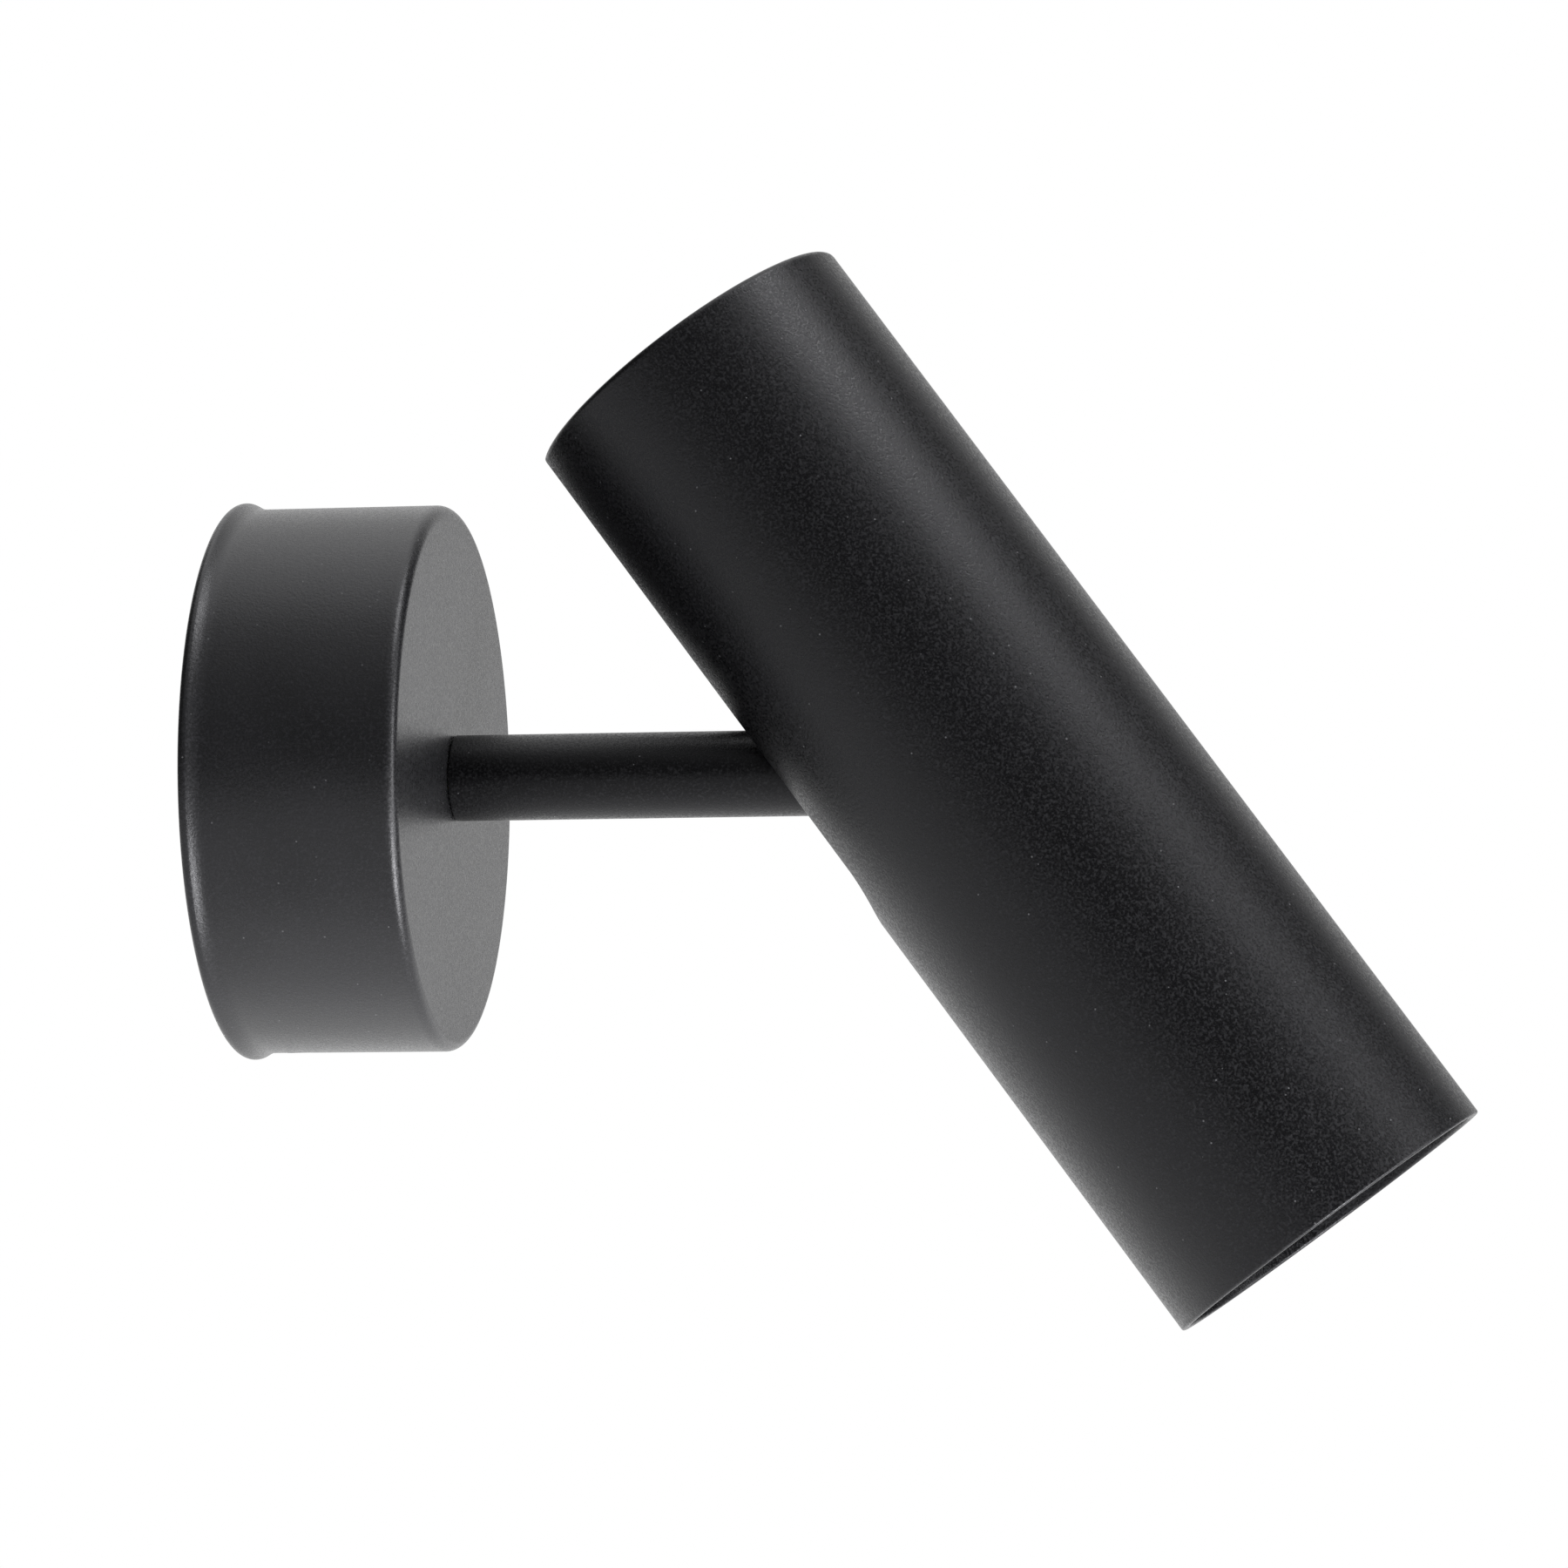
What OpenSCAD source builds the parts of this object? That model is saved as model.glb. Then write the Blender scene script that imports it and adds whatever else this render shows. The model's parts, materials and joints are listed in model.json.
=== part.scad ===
// Wall spotlight: a round canopy, an arm that turns in it, and a tube head that tilts on the arm.
// The origin is the middle of the canopy's back, on the wall. Out of the wall is -Y and up is +Z.

/* [Pose] */
// Tilt of the head below straight out of the wall, as it rests
tilt_deg = 53.7; // [0:0.1:90]

/* [Canopy] */
// Outer diameter of the canopy cup
canopy_d = 91.6; // [88:0.1:100]
// Depth of the canopy from the wall to its face
canopy_depth = 35.8; // [34:0.1:42]
// Sheet thickness of the canopy
canopy_wall = 1.2; // [0.8:0.1:1.6]
// Outer radius of the canopy's front edge
canopy_edge_r = 3.2; // [2:0.1:5]
// Section radius of the rolled back rim
rim_r = 1.3; // [1:0.1:1.6]
// How far the rolled rim stands proud of the canopy's side
rim_proud = 1.1; // [0.6:0.1:1.4]

/* [Wall bracket] */
// Width of the bracket strap
strap_w = 22; // [20:0.5:24]
// Thickness of the bracket
strap_t = 1.5; // [1.2:0.1:2]
// Distance between the middles of the two wall screw slots
slot_spacing = 60; // [58:0.5:62]
// Width of a wall screw slot
slot_hole_w = 4.5; // [4:0.1:5]
// Length of a wall screw slot
slot_hole_len = 12; // [8:0.5:13]
// Width of an ear that carries a grub screw
ear_w = 12; // [10:0.5:14]
// Height of an ear from the wall
ear_h = 15; // [13:0.5:18]
// Height of the grub screws from the wall
grub_z = 9; // [8:0.5:10]
// Diameter of a grub screw
grub_d = 4; // [3:0.5:4]
// Length of a grub screw
grub_len = 6; // [5:0.5:7]

/* [Terminal block and earth] */
// Distance between the ways of the terminal block
way_pitch = 9.5; // [9:0.1:10]
// Width of the tower over one way
way_w = 7.6; // [7:0.1:8]
// Length of the terminal block along its wires
block_len = 16; // [15:0.5:18]
// Height of the terminal block
block_h = 13; // [12:0.5:14]
// Thickness of the bridge between the towers
bridge_t = 4; // [3:0.5:5]
// How far the middle of the block lies below the arm's axis
block_drop = 12; // [11.5:0.5:13]
// Outer diameter of a brass sleeve in the block
sleeve_way_d = 5; // [4.6:0.1:5.4]
// Bore of a brass sleeve
sleeve_way_bore = 3; // [2.6:0.1:3.4]
// Diameter of a clamp screw
clamp_d = 2.6; // [2.4:0.1:3]
// Diameter of a screw that holds the block
block_screw_d = 2; // [1.6:0.1:2.2]
// How far the earth screw lies above the arm's axis
earth_y = 14; // [13:0.5:15]
// Diameter of the earth screw
earth_d = 4; // [3.5:0.1:4]

/* [Leads] */
// Diameter of one lead
lead_d = 1.8; // [1.4:0.1:2]
// Outer diameter of the sleeve round the two leads
sheath_d = 4.8; // [4.6:0.1:5.2]
// Wall of the sleeve round the two leads
sheath_wall = 0.35; // [0.2:0.05:0.4]
// Distance of each crossing lead from the middle of the tilt axis
lead_cross_x = 16; // [15.7:0.1:16.3]
// Distance of each lead from the head's axis where it passes the carrier disc
lead_side_x = 18.6; // [18.4:0.1:19]

/* [Arm] */
// Outer diameter of the arm tube
arm_d = 14.4; // [14:0.1:15]
// Wall of the arm tube
arm_wall = 1.2; // [1:0.1:1.4]
// From the canopy's face to the tilt axis
arm_reach = 90.8; // [90.6:0.1:120]

/* [Swivel] */
// Thread diameter of the hollow swivel spigot
spigot_d = 10; // [9.5:0.1:10.5]
// Bore of the spigot
spigot_bore = 6.2; // [5.8:0.1:6.6]
// How far the spigot's plug reaches into the arm tube
spigot_plug = 14; // [10:0.5:20]
// Wall of the bush in the canopy hole
bush_wall = 1.1; // [0.8:0.1:1.2]
// Diameter of the bush flange
bush_flange_d = 20; // [18:0.5:21]
// Thickness of the bush flange
bush_flange_t = 1.2; // [0.8:0.1:1.6]
// Diameter of the stop washer
stop_d = 19; // [17:0.5:20]
// Thickness of the stop washer
stop_t = 1.5; // [1:0.1:2]
// Width of the tab on the stop washer
tab_w = 3; // [2:0.1:3.4]
// Distance of the stop stud from the swivel axis
stud_radius = 12; // [12:0.1:13]
// Diameter of the stop stud
stud_d = 2.4; // [2:0.1:2.6]
// Height of the dished spring washer
dish_h = 1.2; // [1:0.1:1.6]
// Sheet thickness of the dished spring washer
dish_t = 0.6; // [0.4:0.1:0.8]
// Thickness of the flat washer
flat_t = 1; // [0.8:0.1:1.6]
// Width across flats of the swivel nut
swivel_nut_af = 14; // [13:0.5:16]
// Height of the swivel nut
swivel_nut_h = 4.5; // [3:0.5:5]

/* [Tilt joint] */
// Thickness of the tongue on the arm
tongue_t = 6; // [5.6:0.1:6.2]
// Width of the tongue on the arm
tongue_w = 13; // [12:0.1:14]
// Thickness of the knuckle's shoulder
shoulder_t = 1.5; // [1:0.1:2]
// From the end of the arm tube to the tilt axis
knuckle_back = 12; // [11.5:0.1:14]
// How far the knuckle's plug reaches into the arm tube
knuckle_plug = 12; // [10:0.5:16]
// Diameter of the pivot bolt
pivot_d = 5; // [4:0.1:5.5]
// Thickness of a friction washer
friction_t = 0.8; // [0.5:0.1:1]
// Diameter of a friction washer
friction_d = 12; // [10:0.1:12.5]
// Thickness of a yoke cheek
cheek_t = 2; // [1.6:0.1:2.2]
// Width of a yoke cheek
cheek_w = 13; // [12:0.1:14]
// Diameter of the pivot bolt's head
bolt_head_d = 8.5; // [8:0.1:9]
// Height of the pivot bolt's head
bolt_head_h = 2.8; // [2.2:0.1:3]
// Thickness of the spring washer under the nut
spring_t = 1.1; // [0.8:0.1:1.2]
// Width across flats of the pivot nut
pivot_nut_af = 8; // [7.5:0.1:8.4]
// Height of the pivot nut
pivot_nut_h = 4; // [3:0.1:4.2]
// From the tilt axis to the yoke's base
yoke_drop = 11; // [10.5:0.1:12.5]
// Thickness of the yoke's base
yoke_base_t = 3; // [2:0.1:4]
// Length of the yoke's base
yoke_base_len = 27; // [26:0.1:27.4]
// Distance between the two yoke screws
yoke_screw_spacing = 20; // [19:0.1:20.6]

/* [Head tube] */
// Outer diameter of the head tube
tube_d = 60; // [59:0.1:66]
// Wall of the head tube
tube_wall = 1.5; // [1:0.1:1.8]
// From the tilt axis to the closed top
tube_above = 85.9; // [60:0.1:86]
// From the tilt axis to the mouth
tube_below = 92.8; // [90:0.1:110]
// Outer radius of the rounded top edge
top_edge_r = 1.8; // [1.6:0.1:4]
// Inner radius of the rounded top edge
top_inner_r = 0.6; // [0.3:0.1:2]
// Width of the slot in the tube's back and top
slot_w = 20; // [19:0.1:24]
// Radius of the rounded lip at the mouth
lip_r = 0.4; // [0.2:0.05:0.45]

/* [Carrier and lampholder] */
// Plate thickness of the carrier disc
carrier_t = 1.5; // [1:0.1:2]
// Depth of the carrier's flange
carrier_flange = 9; // [6:0.5:12]
// Middle radius of the ring of vents
vent_radius = 22.5; // [22:0.1:23]
// Width of a vent
vent_w = 3; // [2:0.1:3.4]
// Half of the angle that a vent spans
vent_half_deg = 13; // [8:1:15]
// Hole diameter of a grommet
grommet_d = 6.4; // [6:0.1:6.8]
// Lip of a grommet round its hole
grommet_lip = 1; // [0.6:0.1:1.2]
// Diameter of the lampholder
holder_d = 28; // [27.4:0.1:28.4]
// Height of the lampholder
holder_h = 20; // [18:0.5:22]
// Width of the lampholder over its two flats
holder_flat = 26; // [25.5:0.1:26.4]
// Distance between the two holder screws
holder_screw_spacing = 20.4; // [20:0.1:21]
// Diameter of the small screws in the head
small_screw_d = 3; // [2.5:0.1:3]

/* [Lamp] */
// Largest diameter of the lamp
lamp_d = 50; // [46:0.5:52]
// Length of the lamp without its pins
lamp_len = 50; // [46:0.5:52]
// Diameter of the lamp's base
lamp_base_d = 26; // [24:0.5:28]
// Length of the lamp's base
lamp_base_len = 7; // [5:0.5:10]
// Distance between the two lamp pins
pin_spacing = 10; // [9.8:0.1:10.2]
// Diameter of a pin's head
pin_head_d = 5; // [4.6:0.1:5]
// Diameter of a pin's neck
pin_neck_d = 3; // [2.6:0.1:3.2]
// Length of a pin below the lamp
pin_len = 7; // [6.5:0.1:7.5]
// Wall of the lamp's bowl
lamp_wall = 1.6; // [1:0.1:2]
// Thickness of the lamp's lens
lens_t = 2; // [1.5:0.1:3]

/* [Fits] */
// Radial clearance of a running fit
run_gap = 0.05; // [0.02:0.01:0.09]
// Radial clearance of a fit that stays put
fix_gap = 0.05; // [0.02:0.01:0.1]
// Gap between two flat faces that turn on each other
face_gap = 0.15; // [0.1:0.05:0.3]

/* [Hidden] */
$fn = 64;
tiny = 0.01;
past = 1;

canopy_r = canopy_d / 2;
canopy_in_r = canopy_r - canopy_wall;
canopy_in_z = canopy_depth - canopy_wall;
pivot_out = canopy_depth + arm_reach;

ear_gap = 0.2;
ear_out = sqrt(canopy_in_r * canopy_in_r - ear_w * ear_w / 4) - ear_gap;
ear_corner_r = 3;
strap_corner_r = 6;
grub_hole_gap = 0.3;
grub_socket = 2;
grub_sunk = 0.4;

block_floor = strap_t;
way_share = 0.42;
way_z = block_floor + block_h * way_share;
clamp_y = block_len / 4;
clamp_head_d = clamp_d + 0.6;
clamp_top_sunk = 1.5;
clamp_top = block_floor + block_h - clamp_top_sunk;
clamp_cut_w = 0.6;
clamp_cut_deep = 0.7;
block_head_d = block_screw_d + 1.5;
block_head_h = 1.4;
block_screw_x = way_pitch / 2;
lug_r = 3.9;
lug_t = 1;
lug_neck_w = 2.6;
lug_neck_start = 7;

spigot_r = spigot_d / 2;
bush_r = spigot_r + run_gap + bush_wall;
bush_in_z = canopy_in_z - bush_flange_t;
stop_top = bush_in_z - face_gap;
dish_top = stop_top - stop_t;
flat_top = dish_top - dish_h;
nut_top = flat_top - flat_t;
thread_past_nut = 0.8;
spigot_end = nut_top - swivel_nut_h - thread_past_nut;
spigot_flat = spigot_r - 1;
washer_gap = 0.2;
tab_reach = stud_radius + stud_d / 2;
stud_len = canopy_in_z - dish_top;
washer_d = swivel_nut_af + 4;
arm_r = arm_d / 2;
arm_in_r = arm_r - arm_wall;
arm_root = canopy_depth + face_gap;
arm_end = pivot_out - knuckle_back;
spigot_plug_end = arm_root + spigot_plug;

sheath_in = sheath_d / 2 - sheath_wall;
sheath_out = 7;
sheath_past_plug = 6;
sheath_start = spigot_end - sheath_out;
sheath_end = spigot_plug_end + sheath_past_plug;
lead_break_z = sheath_start + 1;
pair_gap = 0.24;
pair_x = lead_d / 2 + pair_gap / 2;
groove_x = tongue_t / 2 + 0.3;
groove_w = lead_d + 0.6;
lead_groove_x = groove_x + 0.35 + lead_d / 2;
lead_break = 0.3;
lead_bend = 2.2;
lead_turn_x = lead_cross_x - lead_break / 2 - lead_bend - 0.2;

friction_x = tongue_t / 2 + face_gap;
cheek_x = friction_x + friction_t;
cheek_out = cheek_x + cheek_t;
nut_x = cheek_out + spring_t;
bolt_end_x = nut_x + pivot_nut_h + 0.5;

tube_r = tube_d / 2;
tube_in_r = tube_r - tube_wall;
carrier_z = yoke_drop + yoke_base_t;
carrier_r = tube_in_r - fix_gap;
carrier_corner_r = 1.2;
holder_z = carrier_z + carrier_t;
holder_face = holder_z + holder_h;
screw_head_d = 5.4;
screw_head_h = 1.8;
head_round_share = 0.45;
drive_deep_share = 0.6;
holder_screw_deep = 6;
lead_entry_z = holder_z + 6.5;

pin_r = pin_spacing / 2;
pocket_gap = 0.5;
pocket_top = 2.2;
pocket_deep = pin_len + 1.2;
pocket_relief = 0.15;
lock_deg = 30;
cavity_deg = 40;
wide = pin_head_d + 2 * pocket_gap;
narrow = pin_neck_d + pocket_gap;
contact_t = 1;
contact_w = 3.6;
contact_x = pin_r + pin_head_d / 2 + fix_gap;
contact_foot = lead_entry_z - 1.6;
contact_len = holder_face - pocket_top - 0.4 - contact_foot;
lamp_z = holder_face + face_gap;
lamp_end = lamp_z + lamp_len;
lamp_rim = 7;
bowl_steps = 12;

// Z runs out of the wall
module from_wall() {
    rotate([90, 0, 0]) children();
}

// Z runs along the head towards its mouth, from the tilt axis, and Y runs towards the head's front
module from_pivot() {
    translate([0, -pivot_out, 0]) rotate([90 + tilt_deg, 0, 0]) children();
}

module both_sides() {
    children();
    mirror([1, 0, 0]) children();
}

module top_and_bottom() {
    children();
    mirror([0, 1, 0]) children();
}

// A half profile of a disc or cup, with its outer far corner rounded
module rounded_corner(r, h, corner) {
    square([r, h - corner]);
    square([r - corner, h]);
    translate([r - corner, h - corner]) circle(r=corner);
}

module ring(outer, inner, t) {
    difference() {
        cylinder(r=outer, h=t);
        translate([0, 0, -past]) cylinder(r=inner, h=t + 2 * past);
    }
}

// A slot through a plate, along Y
module slot(w, len, t) {
    for (end = [-1, 1]) translate([0, end * (len - w) / 2, -past]) cylinder(d=w, h=t + 2 * past);
    translate([-w / 2, -(len - w) / 2, -past]) cube([w, len - w, t + 2 * past]);
}

// A plate in XY with round corners
module round_plate(w, len, t, corner) {
    linear_extrude(t) {
        square([w - 2 * corner, len], center=true);
        square([w, len - 2 * corner], center=true);
        for (x = [-1, 1], y = [-1, 1])
            translate([x * (w / 2 - corner), y * (len / 2 - corner)]) circle(r=corner);
    }
}

// A pan-head screw with its head's underside at z = 0 and its shank running to +Z
module pan_screw(d, len, head_d, head_h, drive) {
    difference() {
        union() {
            cylinder(d=d, h=len);
            rotate_extrude() mirror([0, 1]) rounded_corner(head_d / 2, head_h, head_h * head_round_share);
        }
        translate([0, 0, -head_h - past]) cylinder(d=drive, h=past + head_h * drive_deep_share, $fn=6);
    }
}

function unit(v) = v / norm(v);

// How far a corner may be cut into the run beside it, where another corner may need the rest
function room(run, alone) = norm(run) * (alone ? 0.95 : 0.48);

// Each place along a path of straight runs with its corners rounded, as [point, direction]
function rounded_path(p, bend) = let (last = len(p) - 1) [
    [p[0], unit(p[1] - p[0])],
    for (i = [1 : last - 1])
        let (
            back = unit(p[i - 1] - p[i]),
            on = unit(p[i + 1] - p[i]),
            cut = min(bend, room(p[i - 1] - p[i], i == 1), room(p[i + 1] - p[i], i == last - 1)),
            steps = max(1, ceil(acos(-back * on) / 18))
        )
        for (j = [0 : steps])
            let (t = j / steps)
            [p[i] + cut * ((1 - t) * (1 - t) * back + t * t * on), unit(t * on - (1 - t) * back)],
    [p[last], unit(p[last] - p[last - 1])]
];

// A round lead along a path; side is a direction that the path never takes
module lead(points, bend, side, sides = 8) {
    path = rounded_path(points, bend);
    last = len(path) - 1;
    rings = [
        for (place = path)
            let (
                across = unit(cross(place[1], side)),
                third = cross(place[1], across)
            )
            for (k = [0 : sides - 1])
                place[0] + lead_d / 2 * (across * cos(360 * k / sides) + third * sin(360 * k / sides))
    ];
    walls = [
        for (i = [0 : last - 1], k = [0 : sides - 1])
            let (a = i * sides + k, b = i * sides + (k + 1) % sides)
            each [[a, a + sides, b], [b, a + sides, b + sides]]
    ];
    ends = [
        [for (k = [0 : sides - 1]) k],
        [for (k = [sides - 1 : -1 : 0]) last * sides + k]
    ];
    polyhedron(points=rings, faces=concat(walls, ends));
}

module wall_bracket() {
    color("silver") from_wall() difference() {
        union() {
            round_plate(strap_w, 2 * ear_out, strap_t, strap_corner_r);
            top_and_bottom() translate([0, ear_out, 0]) rotate([90, 0, 0])
                translate([0, ear_h / 2, 0]) round_plate(ear_w, ear_h, strap_t, ear_corner_r);
            top_and_bottom() translate([-ear_w / 2, ear_out - strap_t, 0]) cube([ear_w, strap_t, ear_h / 2]);
        }
        top_and_bottom() translate([0, slot_spacing / 2, 0]) slot(slot_hole_w, slot_hole_len, strap_t);
        top_and_bottom() translate([0, ear_out + past, grub_z]) rotate([90, 0, 0])
            cylinder(r=grub_d / 2 + fix_gap, h=strap_t + 2 * past);
        translate([0, earth_y, -past]) cylinder(r=earth_d / 2 + fix_gap, h=strap_t + 2 * past);
        for (side = [-1, 1]) translate([side * block_screw_x, -block_drop, -past])
            cylinder(r=block_screw_d / 2 + fix_gap, h=strap_t + 2 * past);
    }
}

module canopy_cup() {
    color([0.07, 0.07, 0.08]) from_wall() difference() {
        rotate_extrude($fn=128) difference() {
            union() {
                rounded_corner(canopy_r, canopy_depth, canopy_edge_r);
                translate([canopy_r + rim_proud - rim_r, rim_r]) circle(r=rim_r);
            }
            translate([0, -past])
                rounded_corner(canopy_in_r, canopy_in_z + past, canopy_edge_r - canopy_wall);
        }
        translate([0, 0, canopy_in_z - past]) cylinder(r=bush_r + fix_gap, h=canopy_wall + 2 * past);
        top_and_bottom() translate([0, canopy_r + past + rim_proud, grub_z]) rotate([90, 0, 0])
            cylinder(r=grub_d / 2 + grub_hole_gap, h=canopy_wall + 4 * past + rim_proud);
    }
}

module canopy_grub_screws() {
    color("dimgray") from_wall() top_and_bottom()
        translate([0, canopy_r - grub_sunk, grub_z]) rotate([90, 0, 0]) difference() {
            cylinder(d=grub_d, h=grub_len);
            translate([0, 0, -past]) cylinder(d=grub_socket, h=past + grub_d * drive_deep_share, $fn=6);
        }
}

module stop_stud() {
    color("silver") from_wall()
        translate([0, -stud_radius, canopy_in_z - stud_len]) cylinder(d=stud_d, h=stud_len);
}

module swivel_bush() {
    color("ivory") from_wall() difference() {
        union() {
            translate([0, 0, bush_in_z]) cylinder(d=bush_flange_d, h=bush_flange_t);
            translate([0, 0, bush_in_z]) cylinder(r=bush_r, h=bush_flange_t + canopy_wall);
        }
        translate([0, 0, bush_in_z - past])
            cylinder(r=spigot_r + run_gap, h=bush_flange_t + canopy_wall + 2 * past);
    }
}

module terminal_block() {
    color("white") from_wall() translate([0, -block_drop, block_floor]) difference() {
        union() {
            round_plate(2 * way_pitch + way_w, block_len, bridge_t, 1.5);
            for (way = [-1 : 1]) {
                translate([way * way_pitch - way_w / 2, -block_len / 2, 0])
                    cube([way_w, block_len, way_z - block_floor]);
                translate([way * way_pitch, 0, way_z - block_floor]) rotate([90, 0, 0])
                    cylinder(d=way_w, h=block_len, center=true);
                top_and_bottom() translate([way * way_pitch, clamp_y, 0])
                    cylinder(d=way_w - 1, h=block_h);
            }
        }
        for (way = [-1 : 1]) {
            translate([way * way_pitch, 0, way_z - block_floor]) rotate([90, 0, 0])
                cylinder(r=sleeve_way_d / 2 + fix_gap, h=block_len + 2 * past, center=true);
            top_and_bottom() translate([way * way_pitch, clamp_y, way_z - block_floor])
                cylinder(r=clamp_head_d / 2 + 2 * fix_gap, h=block_h);
        }
        for (side = [-1, 1]) translate([side * block_screw_x, 0, -past]) {
            cylinder(r=block_screw_d / 2 + 2 * fix_gap, h=block_h + past);
            translate([0, 0, past + bridge_t]) cylinder(r=block_head_d / 2 + 2 * fix_gap, h=block_h);
        }
    }
}

module terminal_sleeves() {
    color("gold") from_wall() translate([0, -block_drop, way_z]) for (way = [-1 : 1])
        translate([way * way_pitch, 0, 0]) difference() {
            rotate([90, 0, 0]) cylinder(d=sleeve_way_d, h=block_len - 2, center=true);
            rotate([90, 0, 0]) cylinder(d=sleeve_way_bore, h=block_len, center=true);
            top_and_bottom() translate([0, clamp_y, 0]) cylinder(r=clamp_d / 2 + fix_gap, h=sleeve_way_d);
        }
}

module terminal_clamp_screws() {
    color("gold") from_wall() translate([0, -block_drop, 0]) for (way = [-1 : 1]) top_and_bottom()
        translate([way * way_pitch, clamp_y, 0]) difference() {
            union() {
                translate([0, 0, way_z + lead_d / 2]) cylinder(d=clamp_d, h=sleeve_way_d / 2);
                translate([0, 0, way_z + sleeve_way_d / 2 + 0.1])
                    cylinder(d=clamp_head_d, h=clamp_top - way_z - sleeve_way_d / 2);
            }
            translate([-clamp_cut_w / 2, -clamp_head_d, clamp_top - clamp_cut_deep])
                cube([clamp_cut_w, 2 * clamp_head_d, 2 * past]);
        }
}

module terminal_fixing_screw() {
    color("silver") from_wall() for (side = [-1, 1])
        translate([side * block_screw_x, -block_drop, block_floor + bridge_t]) mirror([0, 0, 1])
            pan_screw(block_screw_d, bridge_t + strap_t, block_head_d, block_head_h, 1);
}

module earth_screw() {
    color("gold") from_wall() translate([0, earth_y, strap_t + lug_t]) mirror([0, 0, 1])
        pan_screw(earth_d, strap_t + lug_t, 7, 2.4, 2.5);
}

module earth_lead() {
    color("yellowgreen") from_wall() {
        lead([
            [0, -block_drop + 4, way_z], [0, 1.5, way_z], [0, 5, strap_t + 1.2], [0, 8.4, strap_t + 1.2]
        ], 2, [1, 0, 0]);
        translate([0, earth_y, strap_t]) ring(lug_r, earth_d / 2 + fix_gap, lug_t);
        translate([-lug_neck_w / 2, lug_neck_start, strap_t])
            cube([lug_neck_w, earth_y - lug_neck_start - lug_r + 0.5, lug_t]);
    }
}

module canopy_leads() {
    color("sienna") from_wall() both_sides()
        lead([
            [way_pitch, -block_drop + 4, way_z], [way_pitch, 1, way_z], [way_pitch - 1, 5, way_z + 3],
            [way_pitch - 5, 4.4, way_z + 6.2], [pair_x, 0, sheath_start - 1.6],
            [pair_x, 0, lead_break_z - lead_break / 2]
        ], 1.5, [1, 0, 1]);
}

module arm_tube() {
    color([0.05, 0.05, 0.06]) from_wall() translate([0, 0, arm_root])
        ring(arm_r, arm_in_r, arm_end - arm_root);
}

module swivel_spigot() {
    color("silver") from_wall() difference() {
        union() {
            translate([0, 0, spigot_end]) cylinder(r=spigot_r, h=arm_root - spigot_end + tiny);
            translate([0, 0, arm_root]) cylinder(r=arm_in_r - fix_gap, h=spigot_plug);
        }
        translate([0, 0, spigot_end - past])
            cylinder(d=spigot_bore, h=spigot_plug_end - spigot_end + 2 * past);
        translate([spigot_flat, -spigot_r, spigot_end - past])
            cube([spigot_r, spigot_d, stop_top - spigot_end + past]);
    }
}

// The flat in the washer's bore keys it to the spigot, and its tab meets the stud at the end of the turn
module stop_washer() {
    color("silver") from_wall() translate([0, 0, dish_top]) difference() {
        union() {
            cylinder(d=stop_d, h=stop_t);
            translate([-tab_w / 2, 0, 0]) cube([tab_w, tab_reach, stop_t]);
        }
        difference() {
            translate([0, 0, -past]) cylinder(r=spigot_r + fix_gap, h=stop_t + 2 * past);
            translate([spigot_flat + fix_gap, -spigot_d, -2 * past])
                cube([spigot_r, 2 * spigot_d, stop_t + 4 * past]);
        }
    }
}

module dished_washer() {
    color("silver") from_wall() translate([0, 0, flat_top]) rotate_extrude() polygon([
        [spigot_r + washer_gap, dish_h - dish_t], [washer_d / 2, 0], [washer_d / 2, dish_t],
        [spigot_r + washer_gap, dish_h]
    ]);
}

module flat_washer() {
    color("silver") from_wall() translate([0, 0, nut_top]) ring(washer_d / 2, spigot_r + washer_gap, flat_t);
}

module swivel_nut() {
    color("gold") from_wall() translate([0, 0, nut_top - swivel_nut_h]) difference() {
        cylinder(d=swivel_nut_af / cos(30), h=swivel_nut_h, $fn=6);
        translate([0, 0, -past]) cylinder(r=spigot_r + fix_gap, h=swivel_nut_h + 2 * past);
    }
}

module lead_sheath() {
    color("white") from_wall() translate([0, 0, sheath_start])
        ring(sheath_d / 2, sheath_in, sheath_end - sheath_start);
}

module arm_leads() {
    color("sienna") from_wall() both_sides()
        lead([
            [pair_x, 0, lead_break_z + lead_break / 2], [pair_x, 0, sheath_end + 1],
            [lead_groove_x, 0, arm_end - knuckle_plug - 2], [lead_groove_x, 0, pivot_out - 9.9],
            [lead_turn_x, 0, pivot_out - 6.9], [lead_turn_x, 0, pivot_out],
            [lead_cross_x - lead_break / 2, 0, pivot_out]
        ], lead_bend, [0, 1, 0]);
}

// The plug sits in the arm tube, the shoulder closes its end, and the tongue carries the tilt bore
module arm_knuckle() {
    color([0.05, 0.05, 0.06]) from_wall() difference() {
        union() {
            translate([0, 0, arm_end - knuckle_plug]) cylinder(r=arm_in_r - fix_gap, h=knuckle_plug + tiny);
            translate([0, 0, arm_end]) rotate_extrude() rounded_corner(arm_r, shoulder_t, 0.5);
            translate([-tongue_t / 2, -tongue_w / 2, arm_end]) cube([tongue_t, tongue_w, knuckle_back]);
            translate([0, 0, pivot_out]) rotate([0, 90, 0]) cylinder(d=tongue_w, h=tongue_t, center=true);
        }
        translate([0, 0, pivot_out]) rotate([0, 90, 0])
            cylinder(r=pivot_d / 2 + run_gap, h=tongue_t + 2 * past, center=true);
        both_sides() translate([groove_x, -groove_w / 2, arm_end - knuckle_plug - past])
            cube([arm_r, groove_w, knuckle_plug + shoulder_t + 2 * past]);
    }
}

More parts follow.
